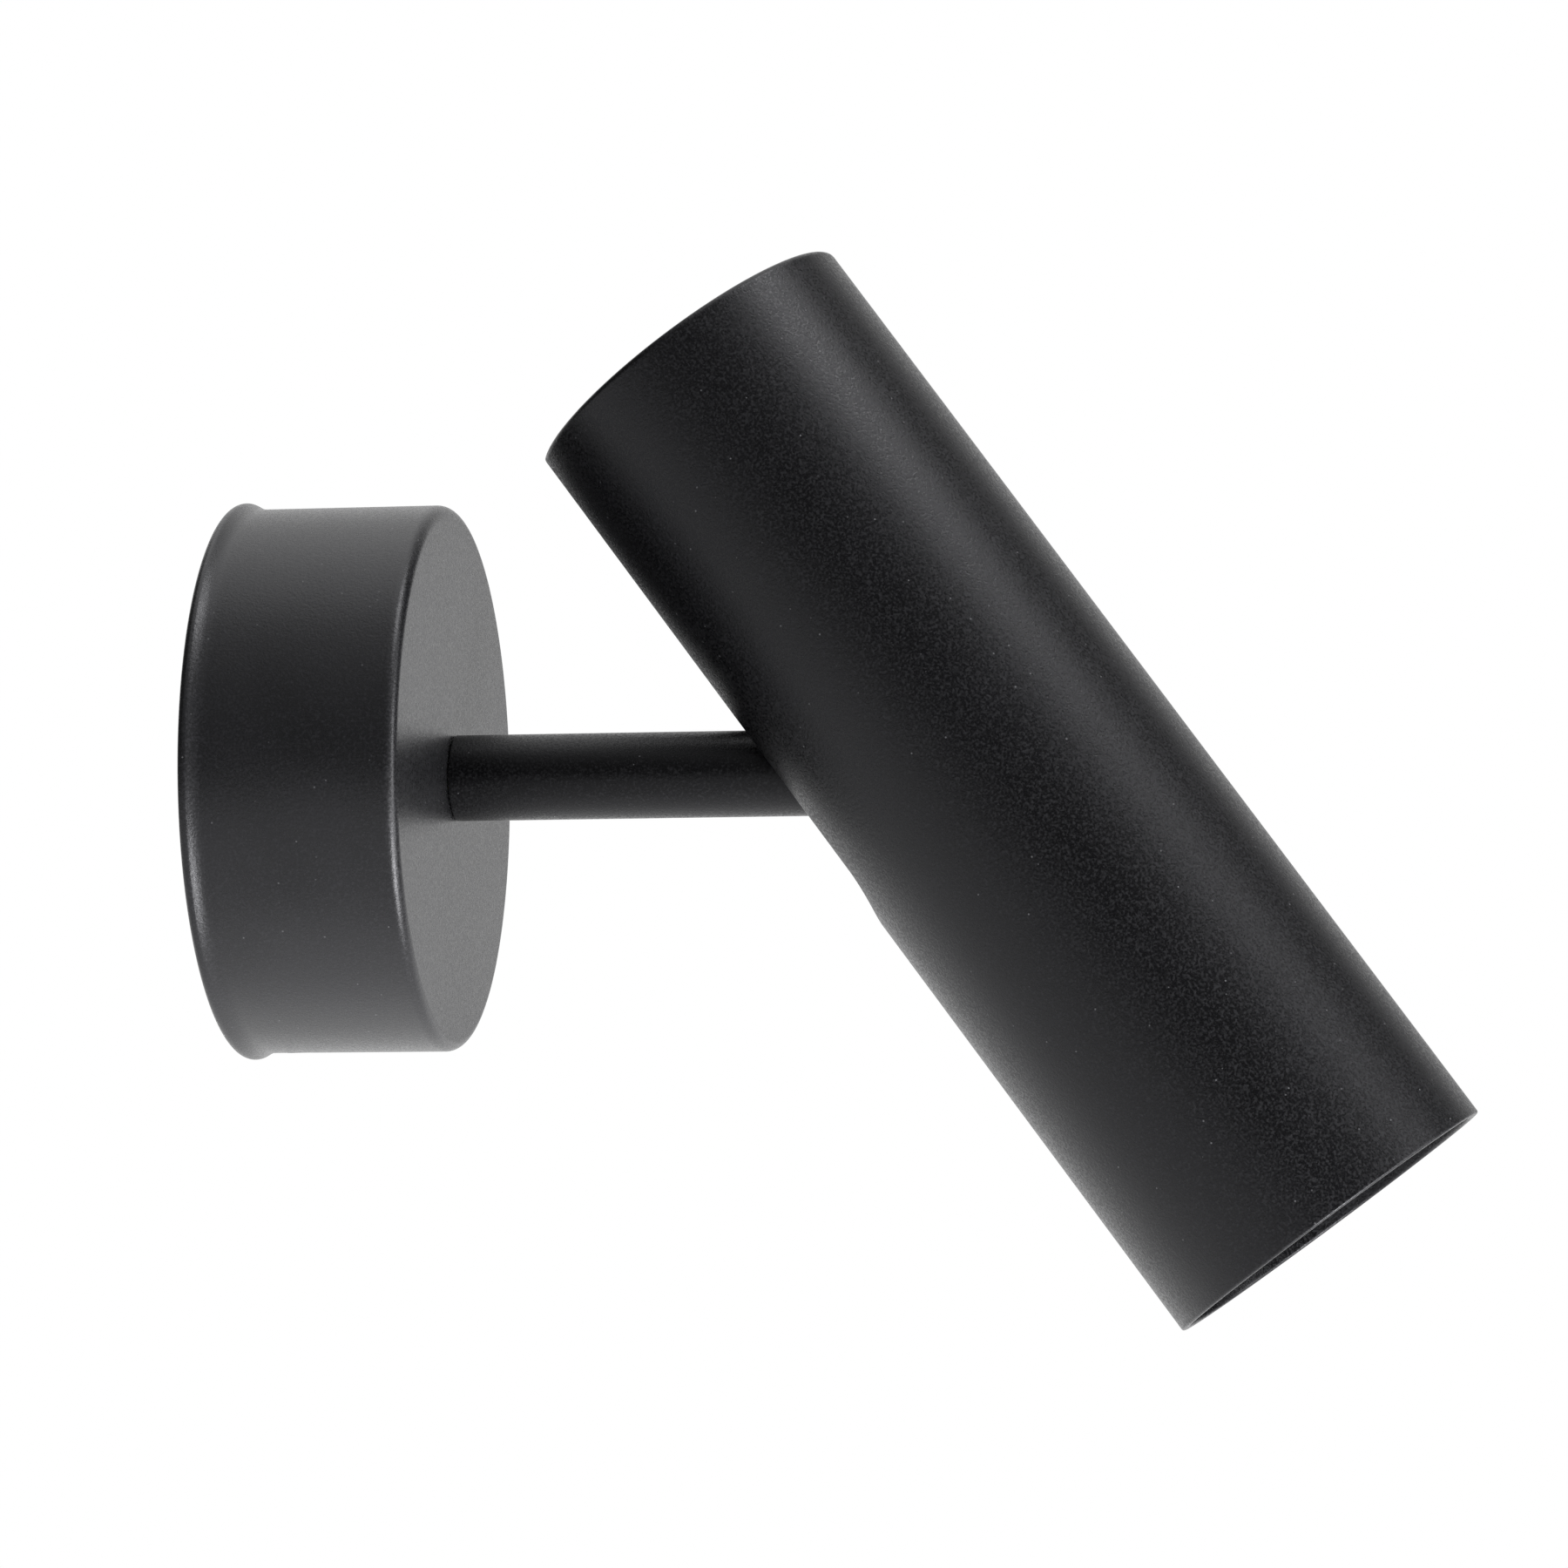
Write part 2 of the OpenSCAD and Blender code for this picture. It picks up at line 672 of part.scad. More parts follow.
module friction_washers() {
    color("ivory") from_pivot() both_sides() translate([friction_x, 0, 0]) rotate([0, 90, 0])
        ring(friction_d / 2, pivot_d / 2 + fix_gap, friction_t);
}

module tilt_yoke() {
    color("silver") from_pivot() difference() {
        union() {
            translate([0, 0, yoke_drop]) round_plate(yoke_base_len, cheek_w, yoke_base_t, 2);
            both_sides() {
                translate([cheek_x, -cheek_w / 2, 0]) cube([cheek_t, cheek_w, yoke_drop + tiny]);
                translate([cheek_x, 0, 0]) rotate([0, 90, 0]) cylinder(d=cheek_w, h=cheek_t);
            }
        }
        rotate([0, 90, 0]) cylinder(r=pivot_d / 2 + fix_gap, h=4 * cheek_out, center=true);
        both_sides() translate([yoke_screw_spacing / 2, 0, yoke_drop - past])
            cylinder(r=small_screw_d / 2 + fix_gap, h=yoke_base_t + 2 * past);
    }
}

module yoke_screws() {
    color("silver") from_pivot() both_sides() translate([yoke_screw_spacing / 2, 0, yoke_drop])
        pan_screw(small_screw_d, yoke_base_t + carrier_t, screw_head_d, screw_head_h, 2);
}

module pivot_bolt() {
    color("silver") from_pivot() translate([cheek_out, 0, 0]) rotate([0, -90, 0])
        pan_screw(pivot_d, cheek_out + bolt_end_x, bolt_head_d, bolt_head_h, 3);
}

module pivot_spring_washer() {
    color("silver") from_pivot() translate([-nut_x, 0, 0]) rotate([0, 90, 0])
        ring(pivot_nut_af / 2, pivot_d / 2 + fix_gap, spring_t);
}

module pivot_nut() {
    color("silver") from_pivot() translate([-nut_x - pivot_nut_h, 0, 0]) rotate([0, 90, 0]) difference() {
        cylinder(d=pivot_nut_af / cos(30), h=pivot_nut_h, $fn=6);
        translate([0, 0, -past]) cylinder(r=pivot_d / 2 + fix_gap, h=pivot_nut_h + 2 * past);
    }
}

// One arc-shaped vent, its ends round
module vent(at) {
    translate([0, 0, -past]) {
        rotate([0, 0, at - vent_half_deg]) rotate_extrude(angle=2 * vent_half_deg)
            translate([vent_radius - vent_w / 2, 0]) square([vent_w, carrier_t + 2 * past]);
        for (end = [-1, 1]) rotate([0, 0, at + end * vent_half_deg]) translate([vent_radius, 0, 0])
            cylinder(d=vent_w, h=carrier_t + 2 * past);
    }
}

module carrier_disc() {
    color("silver") from_pivot() translate([0, 0, carrier_z]) difference() {
        rotate_extrude($fn=128) {
            difference() {
                translate([0, carrier_flange]) mirror([0, 1])
                    rounded_corner(carrier_r, carrier_flange, carrier_corner_r + carrier_t);
                translate([0, carrier_t])
                    square([carrier_r - carrier_t, carrier_flange]);
            }
        }
        for (at = [45, 90, 135, 225, 270, 315]) vent(at);
        both_sides() translate([lead_side_x, 0, -past]) cylinder(d=grommet_d, h=carrier_t + 2 * past);
        both_sides() translate([yoke_screw_spacing / 2, 0, -past])
            cylinder(r=small_screw_d / 2 + fix_gap, h=carrier_t + 2 * past);
        top_and_bottom() translate([0, holder_screw_spacing / 2, -past])
            cylinder(r=small_screw_d / 2 + fix_gap, h=carrier_t + 2 * past);
    }
}

module lead_grommets() {
    color([0.1, 0.1, 0.1]) from_pivot() both_sides() translate([lead_side_x, 0, carrier_z - 1])
        rotate_extrude() difference() {
            union() {
                square([grommet_d / 2 - fix_gap, carrier_t + 2]);
                square([grommet_d / 2 + grommet_lip, 1]);
                translate([0, carrier_t + 1]) square([grommet_d / 2 + grommet_lip, 1]);
            }
            translate([-past, -past]) square([lead_d / 2 + 0.1 + past, carrier_t + 2 + 2 * past]);
        }
}

module head_leads() {
    color("sienna") from_pivot() both_sides()
        lead([
            [lead_cross_x + lead_break / 2, 0, 0], [lead_side_x, 0, 0], [lead_side_x, 0, lead_entry_z],
            [holder_d / 2 - 3, 0, lead_entry_z]
        ], lead_bend, [0, 1, 0]);
}

// One pin's way in at the holder's face, its turn to the locked place, and the cavity for its head
module pin_pocket() {
    rotate([0, 0, -lock_deg - cavity_deg]) rotate_extrude(angle=lock_deg + 2 * cavity_deg)
        translate([pin_r - wide / 2 - pocket_relief, holder_face - pocket_deep])
            square([wide + 2 * pocket_relief, pocket_deep - pocket_top]);
    translate([0, 0, holder_face - pocket_top - past / 2]) {
        rotate([0, 0, -lock_deg]) translate([pin_r, 0, 0]) cylinder(d=wide, h=pocket_top + 2 * past);
        rotate([0, 0, -lock_deg]) rotate_extrude(angle=lock_deg)
            translate([pin_r - narrow / 2, 0]) square([narrow, pocket_top + 2 * past]);
        translate([pin_r, 0, 0]) cylinder(d=narrow + pocket_relief, h=pocket_top + 2 * past);
    }
}

module lampholder() {
    color("whitesmoke") from_pivot() difference() {
        translate([0, 0, holder_z]) linear_extrude(holder_h) intersection() {
            circle(d=holder_d);
            square([holder_d, holder_flat], center=true);
        }
        for (half = [0, 180]) rotate([0, 0, half]) pin_pocket();
        both_sides() {
            translate([contact_x - past, -contact_w / 2 - fix_gap, contact_foot - fix_gap])
                cube([past + contact_t + fix_gap, contact_w + 2 * fix_gap, contact_len + 2 * fix_gap]);
            translate([contact_x, 0, lead_entry_z]) rotate([0, 90, 0]) cylinder(d=lead_d + 0.3, h=holder_d);
        }
        top_and_bottom() translate([0, holder_screw_spacing / 2, holder_z - past])
            cylinder(r=small_screw_d / 2 + fix_gap, h=holder_screw_deep + past + 0.5);
    }
}

module holder_screws() {
    color("silver") from_pivot() top_and_bottom() translate([0, holder_screw_spacing / 2, carrier_z])
        pan_screw(small_screw_d, carrier_t + holder_screw_deep, screw_head_d, screw_head_h, 2);
}

module holder_contacts() {
    color("gold") from_pivot() both_sides()
        translate([contact_x, -contact_w / 2, contact_foot]) cube([contact_t, contact_w, contact_len]);
}

function bowl_r(share, from, to) = from + (to - from) * pow(share, 0.62);

module lamp_body() {
    bowl_len = lamp_len - lamp_base_len - lamp_rim;
    rim_z = lamp_base_len + bowl_len;
    floor_z = lamp_base_len + bowl_len * 0.35;
    color("gainsboro") from_pivot() translate([0, 0, lamp_z]) difference() {
        rotate_extrude($fn=96) difference() {
            union() {
                square([lamp_base_d / 2, lamp_base_len + tiny]);
                polygon([
                    [0, lamp_base_len],
                    for (i = [0 : bowl_steps]) [
                        bowl_r(i / bowl_steps, lamp_base_d / 2, lamp_d / 2),
                        lamp_base_len + bowl_len * i / bowl_steps
                    ],
                    [0, rim_z]
                ]);
                translate([0, rim_z - tiny]) square([lamp_d / 2, lamp_rim + tiny]);
            }
            polygon([
                [0, floor_z],
                for (i = [4 : bowl_steps]) [
                    bowl_r(i / bowl_steps, lamp_base_d / 2, lamp_d / 2) - lamp_wall,
                    max(floor_z, lamp_base_len + bowl_len * i / bowl_steps)
                ],
                [lamp_d / 2 - lamp_wall, lamp_len - lens_t],
                [lamp_d / 2 - lamp_wall, lamp_len + past],
                [0, lamp_len + past]
            ]);
        }
        both_sides() translate([pin_r, 0, -past]) cylinder(r=pin_neck_d / 2 + fix_gap, h=2.5 + past);
    }
}

module lamp_pins() {
    color("silver") from_pivot() both_sides() translate([pin_r, 0, lamp_z - pin_len]) {
        cylinder(d=pin_neck_d, h=pin_len + 2.4);
        rotate_extrude() translate([0, 2.6]) mirror([0, 1]) rounded_corner(pin_head_d / 2, 2.6, 0.6);
    }
}

module lamp_lens() {
    color("azure") from_pivot() translate([0, 0, lamp_end - lens_t]) rotate_extrude($fn=96)
        rounded_corner(lamp_d / 2 - lamp_wall - fix_gap, lens_t, 0.6);
}

// A drawn tube with a closed top. Its slot starts on the tilt axis, runs up the back and ends on the
// tube's axis
module head_tube() {
    tube_len = tube_above + tube_below;
    color([0.05, 0.05, 0.06]) from_pivot() difference() {
        translate([0, 0, tube_below]) rotate([180, 0, 0]) rotate_extrude($fn=128) difference() {
            union() {
                translate([0, lip_r]) rounded_corner(tube_r, tube_len - lip_r, top_edge_r);
                square([tube_r - lip_r, tube_len / 2]);
                translate([tube_r - lip_r, lip_r]) circle(r=lip_r);
            }
            translate([0, -past])
                rounded_corner(tube_in_r, tube_len - tube_wall + past, top_inner_r);
            difference() {
                translate([0, -past]) square([tube_in_r + lip_r, lip_r + past]);
                translate([tube_in_r + lip_r, lip_r]) circle(r=lip_r);
            }
        }
        rotate([90, 0, 0]) cylinder(d=slot_w, h=tube_d);
        translate([-slot_w / 2, -tube_d, -tube_above - past]) cube([slot_w, tube_d, tube_above + past]);
        translate([0, 0, -tube_above - past]) cylinder(d=slot_w, h=tube_wall + 2 * past);
    }
}

wall_bracket();
canopy_cup();
canopy_grub_screws();
stop_stud();
swivel_bush();
terminal_block();
terminal_sleeves();
terminal_clamp_screws();
terminal_fixing_screw();
earth_screw();
earth_lead();
canopy_leads();
arm_tube();
swivel_spigot();
stop_washer();
dished_washer();
flat_washer();
swivel_nut();
lead_sheath();
arm_leads();
arm_knuckle();
friction_washers();
tilt_yoke();
yoke_screws();
pivot_bolt();
pivot_spring_washer();
pivot_nut();
carrier_disc();
lead_grommets();
head_leads();
lampholder();
holder_screws();
holder_contacts();
lamp_body();
lamp_pins();
lamp_lens();
head_tube();
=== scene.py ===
import json
import random
from math import acos, asin, cos, degrees, pi, radians, sin, tan, tau

import bmesh
import bpy
from mathutils import Matrix, Vector
from mathutils.geometry import tessellate_polygon


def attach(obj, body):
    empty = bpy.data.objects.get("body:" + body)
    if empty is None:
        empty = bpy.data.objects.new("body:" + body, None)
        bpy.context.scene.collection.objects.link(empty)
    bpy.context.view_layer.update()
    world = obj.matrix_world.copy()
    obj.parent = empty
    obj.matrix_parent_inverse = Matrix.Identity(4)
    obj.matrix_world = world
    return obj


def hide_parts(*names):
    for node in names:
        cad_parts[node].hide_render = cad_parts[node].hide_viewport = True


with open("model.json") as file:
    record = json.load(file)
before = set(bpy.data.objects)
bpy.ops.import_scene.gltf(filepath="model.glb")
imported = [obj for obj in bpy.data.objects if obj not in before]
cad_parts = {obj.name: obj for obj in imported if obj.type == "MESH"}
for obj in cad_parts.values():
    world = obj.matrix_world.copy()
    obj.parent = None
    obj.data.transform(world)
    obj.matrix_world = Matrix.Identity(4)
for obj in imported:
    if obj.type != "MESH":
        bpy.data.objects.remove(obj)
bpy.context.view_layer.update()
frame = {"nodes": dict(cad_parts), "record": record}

random.seed(11)

mm = 0.001

# Pieces are drawn in millimetres in two local frames. Wall frame: z out of the wall, y up.
# Pivot frame: z along the head to its mouth, y to the head's front, origin on the tilt axis.
fixture = {
    "pivotOut": 126.6,   # wall to tilt axis
    "tilt": 53.7,        # head below straight out of the wall, at rest
}
wallPlace = Matrix.Rotation(radians(90), 4, "X")
pivotPlace = (Matrix.Translation((0, -fixture["pivotOut"] * mm, 0))
              @ Matrix.Rotation(radians(90 + fixture["tilt"]), 4, "X"))
placeOf = {"wall_base": wallPlace, "arm": wallPlace, "head": pivotPlace}


# one socket of a node tree; arithmetic on it adds Math nodes
class Wire:
    def __init__(self, look, socket):
        self.look = look
        self.socket = socket

    def maths(self, operation, other, otherFirst=False):
        first, second = (other, self) if otherFirst else (self, other)
        return self.look.node("ShaderNodeMath", {"operation": operation}, {0: first, 1: second})

    def __add__(self, other):
        return self.maths("ADD", other)

    def __sub__(self, other):
        return self.maths("SUBTRACT", other)

    def __rsub__(self, other):
        return self.maths("SUBTRACT", other, otherFirst=True)

    def __mul__(self, other):
        return self.maths("MULTIPLY", other)

    __radd__ = __add__
    __rmul__ = __mul__


# the node tree of a material or a world, built by expressions
class Look:
    def __init__(self, owner):
        owner.use_nodes = True
        self.owner = owner
        self.tree = owner.node_tree
        self.tree.nodes.clear()

    # settings come first, then values or links by socket name or number
    def node(self, kind, settings=None, inputs=None, out=0):
        made = self.tree.nodes.new(kind)
        for name, value in (settings or {}).items():
            setattr(made, name, value)
        for name, value in (inputs or {}).items():
            if isinstance(value, Wire):
                self.tree.links.new(value.socket, made.inputs[name])
            else:
                made.inputs[name].default_value = value
        return Wire(self, made.outputs[out]) if made.outputs else None

    def blend(self, share, first, second):
        def full(tone):
            return tone if isinstance(tone, Wire) else (*tone, 1)
        return self.node("ShaderNodeMix", {"data_type": "RGBA"},
                         {0: share, 6: full(first), 7: full(second)}, 2)

    # 0 below low, 1 above high, smooth between
    def step(self, value, low, high):
        return self.node("ShaderNodeMapRange", {"interpolation_type": "SMOOTHSTEP"},
                         {"Value": value, "From Min": low, "From Max": high, "To Min": 0.0, "To Max": 1.0})

    def place(self):
        return self.node("ShaderNodeTexCoord", out="Object")

    def stretched(self, place, scale):
        return self.node("ShaderNodeVectorMath", {"operation": "MULTIPLY"}, {0: place, 1: scale})

    # grain is the size of the features in millimetres
    def noise(self, place, grain, detail=2.0, rough=0.5, twist=0.0):
        return self.node("ShaderNodeTexNoise", None,
                         {"Vector": place, "Scale": 1 / (grain * mm), "Detail": detail, "Roughness": rough,
                          "Distortion": twist})

    def cells(self, place, grain, feature="F1", out="Distance"):
        return self.node("ShaderNodeTexVoronoi", {"feature": feature},
                         {"Vector": place, "Scale": 1 / (grain * mm)}, out)

    # strength as set on the Bump node, depth in millimetres
    def bump(self, height, strength, depth, under=None):
        inputs = {"Strength": strength, "Distance": depth * mm, "Height": height}
        if under is not None:
            inputs["Normal"] = under
        return self.node("ShaderNodeBump", None, inputs)

    # the "edge" attribute that tidyMesh writes: 1 on rounded edges
    def edge(self):
        return self.node("ShaderNodeAttribute", {"attribute_name": "edge"}, out="Fac")

    # how far a direction points along a fixed way, from -1 to 1
    def along(self, direction, way):
        return self.node("ShaderNodeVectorMath", {"operation": "DOT_PRODUCT"},
                         {0: direction, 1: tuple(way)}, "Value")

    def ray(self, kind):
        return self.node("ShaderNodeLightPath", out=f"Is {kind} Ray")

    # 1 for rays that come by way of a reflection or through glass
    def mirrored(self):
        return self.ray("Glossy").maths("MAXIMUM", self.ray("Transmission"))

    def finishWith(self, shader, output="ShaderNodeOutputMaterial"):
        self.node(output, None, {"Surface": shader})
        return self.owner

    def surface(self, **sockets):
        names = {"colour": "Base Color", "roughness": "Roughness", "metallic": "Metallic", "normal": "Normal",
                 "specular": "Specular IOR Level", "tint": "Specular Tint", "ior": "IOR",
                 "transmission": "Transmission Weight", "scatter": "Subsurface Weight",
                 "scatterScale": "Subsurface Scale"}
        values = {names[name]: (*value, 1) if isinstance(value, tuple) else value
                  for name, value in sockets.items()}
        return self.finishWith(self.node("ShaderNodeBsdfPrincipled", None, values))


def newLook(name):
    return Look(bpy.data.materials.new(name))


def scaled(tone, by, more=0.0):
    return tuple(min(1.0, by * part + more) for part in tone)


def powderCoat(name, tone, glint, specular=0.5, mottle=0.2, grainUp=0.6):
    look = newLook(name)
    place = look.place()
    peel = look.noise(place, 0.44, detail=4, rough=0.68)
    grit = look.noise(place, 0.26, rough=0.7)
    cloud = look.noise(place, 22)
    # a few pale specks of dust in the coat, and many faint painted sparkles
    rareSpeck = look.step(look.cells(place, 2.8), 0.062, 0.04)
    paintedSparkle = look.step(look.cells(place, 1.1), 0.18, 0.08) * look.step(grit, 0.5, 0.62)
    worn = look.edge() * look.step(look.noise(place, 0.7, detail=4, rough=0.7), 0.42, 0.62)
    colour = look.blend(look.step(cloud, 0.3, 0.7), scaled(tone, 0.8), scaled(tone, 1.25))
    # pale grain in the coat's colour: partly the coat's own grain, partly painted sparkle in place of glints
    colour = look.blend(look.step(peel, 0.52, 0.62) * 0.6, colour, glint)
    # painted sparkle: many faint pale dots in the coat's colour
    colour = look.blend(paintedSparkle * 0.5, colour, glint)
    colour = look.blend(rareSpeck * 0.8, colour, (0.19, 0.19, 0.2))
    colour = look.blend(worn * 0.35, colour, scaled(glint, 2.2))
    roughness = 0.24 + 0.04 * cloud + mottle * look.step(peel, 0.42, 0.6) - 0.04 * worn
    relief = look.bump(look.noise(place, 2.6), 0.05, 0.05)
    relief = look.bump(peel + 0.6 * grit, grainUp, 0.08, relief)
    relief = look.bump(look.cells(place, 0.5, "SMOOTH_F1"), 0.4, 0.05, relief)
    return look.surface(colour=colour, roughness=roughness, normal=relief, specular=specular,
                        tint=(0.96, 0.96, 1.0))


# plated, spun or drawn metal, with fine lines across one axis of the local frame
def plainMetal(name, tone, stain, lines=(1, 1, 14), rough=0.3, wear=0.4):
    look = newLook(name)
    place = look.place()
    drawn = look.noise(look.stretched(place, lines), 0.7, detail=4, rough=0.65)
    cloud = look.noise(place, 5.5, detail=4, rough=0.6)
    edge = look.edge()
    spots = look.step(look.noise(place, 0.9, detail=5, rough=0.7), 0.62, 0.74)
    colour = look.blend(look.step(cloud, 0.38, 0.68) * 0.6, tone, stain)
    colour = look.blend(spots * 0.35, colour, scaled(stain, 0.45))
    colour = look.blend(edge * wear, colour, scaled(tone, 1.25))
    colour = look.blend(0.08, colour, look.cells(place, 1.6, out="Color"))
    roughness = rough + 0.16 * cloud + 0.12 * drawn - 0.08 * edge + 0.15 * spots
    relief = look.bump(drawn, 0.25, 0.02)
    relief = look.bump(spots, 0.2, 0.015, relief)
    return look.surface(colour=colour, roughness=roughness, metallic=1.0, normal=relief)


def mouldedPlastic(name, tone, shade, rough=0.42, grain=0.35, specks=0.0, scatter=0.0):
    look = newLook(name)
    place = look.place()
    pebble = look.noise(place, grain, detail=3, rough=0.55)
    cloud = look.noise(place, 6, detail=4, rough=0.6)
    flow = look.noise(look.stretched(place, (1, 3.5, 1)), 2.4, detail=3, rough=0.55, twist=1.2)
    dirt = look.step(look.noise(place, 1.7, detail=5, rough=0.7), 0.55, 0.8)
    colour = look.blend(look.step(cloud, 0.35, 0.7) * 0.55, tone, shade)
    colour = look.blend(look.step(flow, 0.45, 0.7) * 0.25, colour, shade)
    colour = look.blend(dirt * 0.3, colour, scaled(shade, 0.62))
    colour = look.blend(look.edge() * 0.2, colour, scaled(tone, 1.12, 0.01))
    if specks:
        spot = look.step(look.cells(place, 1.3), 0.14, 0.08)
        colour = look.blend(spot * specks, colour, scaled(shade, 0.5))
    roughness = rough + 0.1 * cloud + 0.08 * pebble + 0.12 * dirt
    relief = look.bump(pebble, 0.2, 0.02)
    relief = look.bump(cloud, 0.1, 0.08, relief)
    return look.surface(colour=colour, roughness=roughness, normal=relief, scatter=scatter,
                        scatterScale=0.002)


# a lead's soft insulation; the two halves of a pair take a colour each by their side of the axis
def insulation(name, leftTone, rightTone, stripe=None):
    look = newLook(name)
    place = look.place()
    across = look.node("ShaderNodeSeparateXYZ", None, {0: place}, "X")
    colour = look.blend(look.step(across, -0.01 * mm, 0.01 * mm), leftTone, rightTone)
    if stripe:
        spiral = look.node("ShaderNodeTexWave", {"wave_type": "BANDS", "bands_direction": "DIAGONAL"},
                           {"Vector": place, "Scale": 90.0, "Distortion": 0.6}, "Fac")
        colour = look.blend(look.step(spiral, 0.45, 0.55), colour, stripe)
    scuff = look.step(look.noise(place, 0.8, detail=5, rough=0.7), 0.55, 0.8)
    dust = look.noise(place, 3, detail=3)
    colour = look.blend(scuff * 0.25, colour, (0.3, 0.28, 0.26))
    relief = look.bump(look.noise(place, 0.5, detail=3), 0.25, 0.04)
    return look.surface(colour=colour, roughness=0.42 + 0.2 * scuff + 0.1 * dust, normal=relief)


def lensGlass(name):
    look = newLook(name)
    place = look.place()
    dimple = look.cells(look.stretched(place, (1, 1, 0.001)), 2.6, "SMOOTH_F1")
    dust = look.step(look.noise(place, 0.6, detail=5, rough=0.75), 0.6, 0.85)
    smear = look.noise(place, 9, detail=3)
    return look.surface(colour=(0.96, 0.98, 0.98), roughness=0.02 + 0.16 * dust + 0.04 * smear,
                        normal=look.bump(dimple, 0.35, 0.25), transmission=1.0, ior=1.5)


looks = {
    "black_coat": powderCoat("headCoat", (0.0017, 0.0017, 0.0023), (0.024, 0.024, 0.027)),
    "zinc_steel": plainMetal("zincPlate", (0.56, 0.57, 0.58), (0.4, 0.41, 0.43), rough=0.26),
    "dark_steel": plainMetal("blackenedSteel", (0.1, 0.1, 0.105), (0.06, 0.058, 0.06), rough=0.36, wear=0.6),
    "brass_parts": plainMetal("brass", (0.72, 0.52, 0.2), (0.55, 0.36, 0.13), rough=0.24),
    "white_nylon": mouldedPlastic("whiteNylon", (0.72, 0.71, 0.67), (0.62, 0.6, 0.54), 0.38, scatter=0.1),
    "lead_insulation": insulation("leadInsulation", (0.13, 0.05, 0.025), (0.02, 0.06, 0.24)),
    "earth_insulation": insulation("earthInsulation", (0.07, 0.27, 0.05), (0.07, 0.27, 0.05),
                                   (0.7, 0.6, 0.05)),
    "black_rubber": mouldedPlastic("blackRubber", (0.018, 0.018, 0.019), (0.03, 0.03, 0.03), 0.6, grain=0.5),
    "white_ceramic": mouldedPlastic("steatite", (0.76, 0.74, 0.69), (0.66, 0.63, 0.57), 0.3, specks=0.35),
    "lamp_shell": plainMetal("anodisedShell", (0.78, 0.79, 0.8), (0.66, 0.67, 0.69), (1, 1, 30), rough=0.2),
    "lens_glass": lensGlass("lensGlass"),
}
# the same black coat in two more copies: the canopy's paler as painted light, the arm's darker as painted
# shade
coats = {
    "canopy": powderCoat("canopyCoatPaintedLight", (0.0125, 0.0125, 0.0138), (0.034, 0.034, 0.038), 0.54, 0.1, 0.45),
    "arm": powderCoat("armCoatPaintedShade", (0.0012, 0.0012, 0.0016), (0.022, 0.022, 0.024), 0.34),
}
print("materials made:", len(looks) + len(coats))


# merges doubles, turns the faces outwards, writes the edge mask and sets the shading
def tidyMesh(mesh, sharpDeg=38, bendFrom=9, bendFull=23):
    work = bmesh.new()
    work.from_mesh(mesh)
    bmesh.ops.remove_doubles(work, verts=work.verts, dist=1e-7)
    bmesh.ops.dissolve_degenerate(work, edges=work.edges, dist=1e-8)
    bmesh.ops.recalc_face_normals(work, faces=work.faces)
    bends = []
    for vert in work.verts:
        angles = [e.calc_face_angle(0.0) for e in vert.link_edges if len(e.link_faces) == 2]
        bends.append(degrees(max(angles)) if angles else 0.0)
    work.to_mesh(mesh)
    work.free()
    mask = mesh.attributes.get("edge") or mesh.attributes.new("edge", "FLOAT", "POINT")
    mask.data.foreach_set("value", [min(1.0, max(0.0, (bend - bendFrom) / (bendFull - bendFrom)))
                                    for bend in bends])
    mesh.polygons.foreach_set("use_smooth", [True] * len(mesh.polygons))
    mesh.set_sharp_from_angle(angle=radians(sharpDeg))
    mesh.update()


# part is (verts, faces), its verts in millimetres in the frame of place
def newPiece(name, part, place, look=looks["black_coat"], sharpDeg=38):
    mesh = bpy.data.meshes.new(name)
    mesh.from_pydata([Vector(v) * mm for v in part[0]], [], part[1])
    piece = bpy.data.objects.new(name, mesh)
    bpy.context.scene.collection.objects.link(piece)
    piece.matrix_world = place
    mesh.materials.append(look)
    tidyMesh(mesh, sharpDeg)
    return piece


# the last step for a piece, once its mesh is final
def fit(piece, body, node=None):
    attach(piece, body)
    if node:
        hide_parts(node)


# a piece that needs no carving
def build(name, part, body, slot, node=None, at=(0, 0, 0), look=None, sharpDeg=38):
    piece = newPiece(name, part, turnedTo(placeOf[body], at), look or looks[slot], sharpDeg)
    fit(piece, body, node)


# takes cutters away from a piece, or joins them to it, and drops them
def carve(piece, cutters, operation="DIFFERENCE"):
    for cutter in cutters:
        change = piece.modifiers.new("carve", "BOOLEAN")
        change.operation = operation
        change.solver = "EXACT"
        change.object = cutter
    bpy.context.view_layer.update()
    ready = piece.evaluated_get(bpy.context.evaluated_depsgraph_get())
    mesh = bpy.data.meshes.new_from_object(ready)
    piece.modifiers.clear()
    old = piece.data
    piece.data = mesh
    bpy.data.meshes.remove(old)
    mesh.name = piece.name
    for cutter in cutters:
        bpy.data.objects.remove(cutter)
    tidyMesh(mesh)


def turnedTo(place, at, turn=None):
    return place @ Matrix.Translation(Vector(at) * mm) @ (turn or Matrix.Identity(4))


facingY = Matrix.Rotation(radians(-90), 4, "X")


# a plain round tool for carve, along z of its own frame
def cutterRod(place, radius, start, end, sides=48):
    return newPiece("cutter", latheMesh([(0, start), (radius, start), (radius, end), (0, end)], sides), place)


# points on an arc between two angles in degrees, both ends included
def arc(x, y, radius, first, last, steps):
    angles = [radians(first + (last - first) * k / steps) for k in range(steps + 1)]
    return [(x + radius * cos(a), y + radius * sin(a)) for a in angles]


def circleLoop(x, y, radius, sides=48):
    angles = [tau * k / sides for k in range(sides)]
    return [(x + radius * cos(a), y + radius * sin(a)) for a in angles]


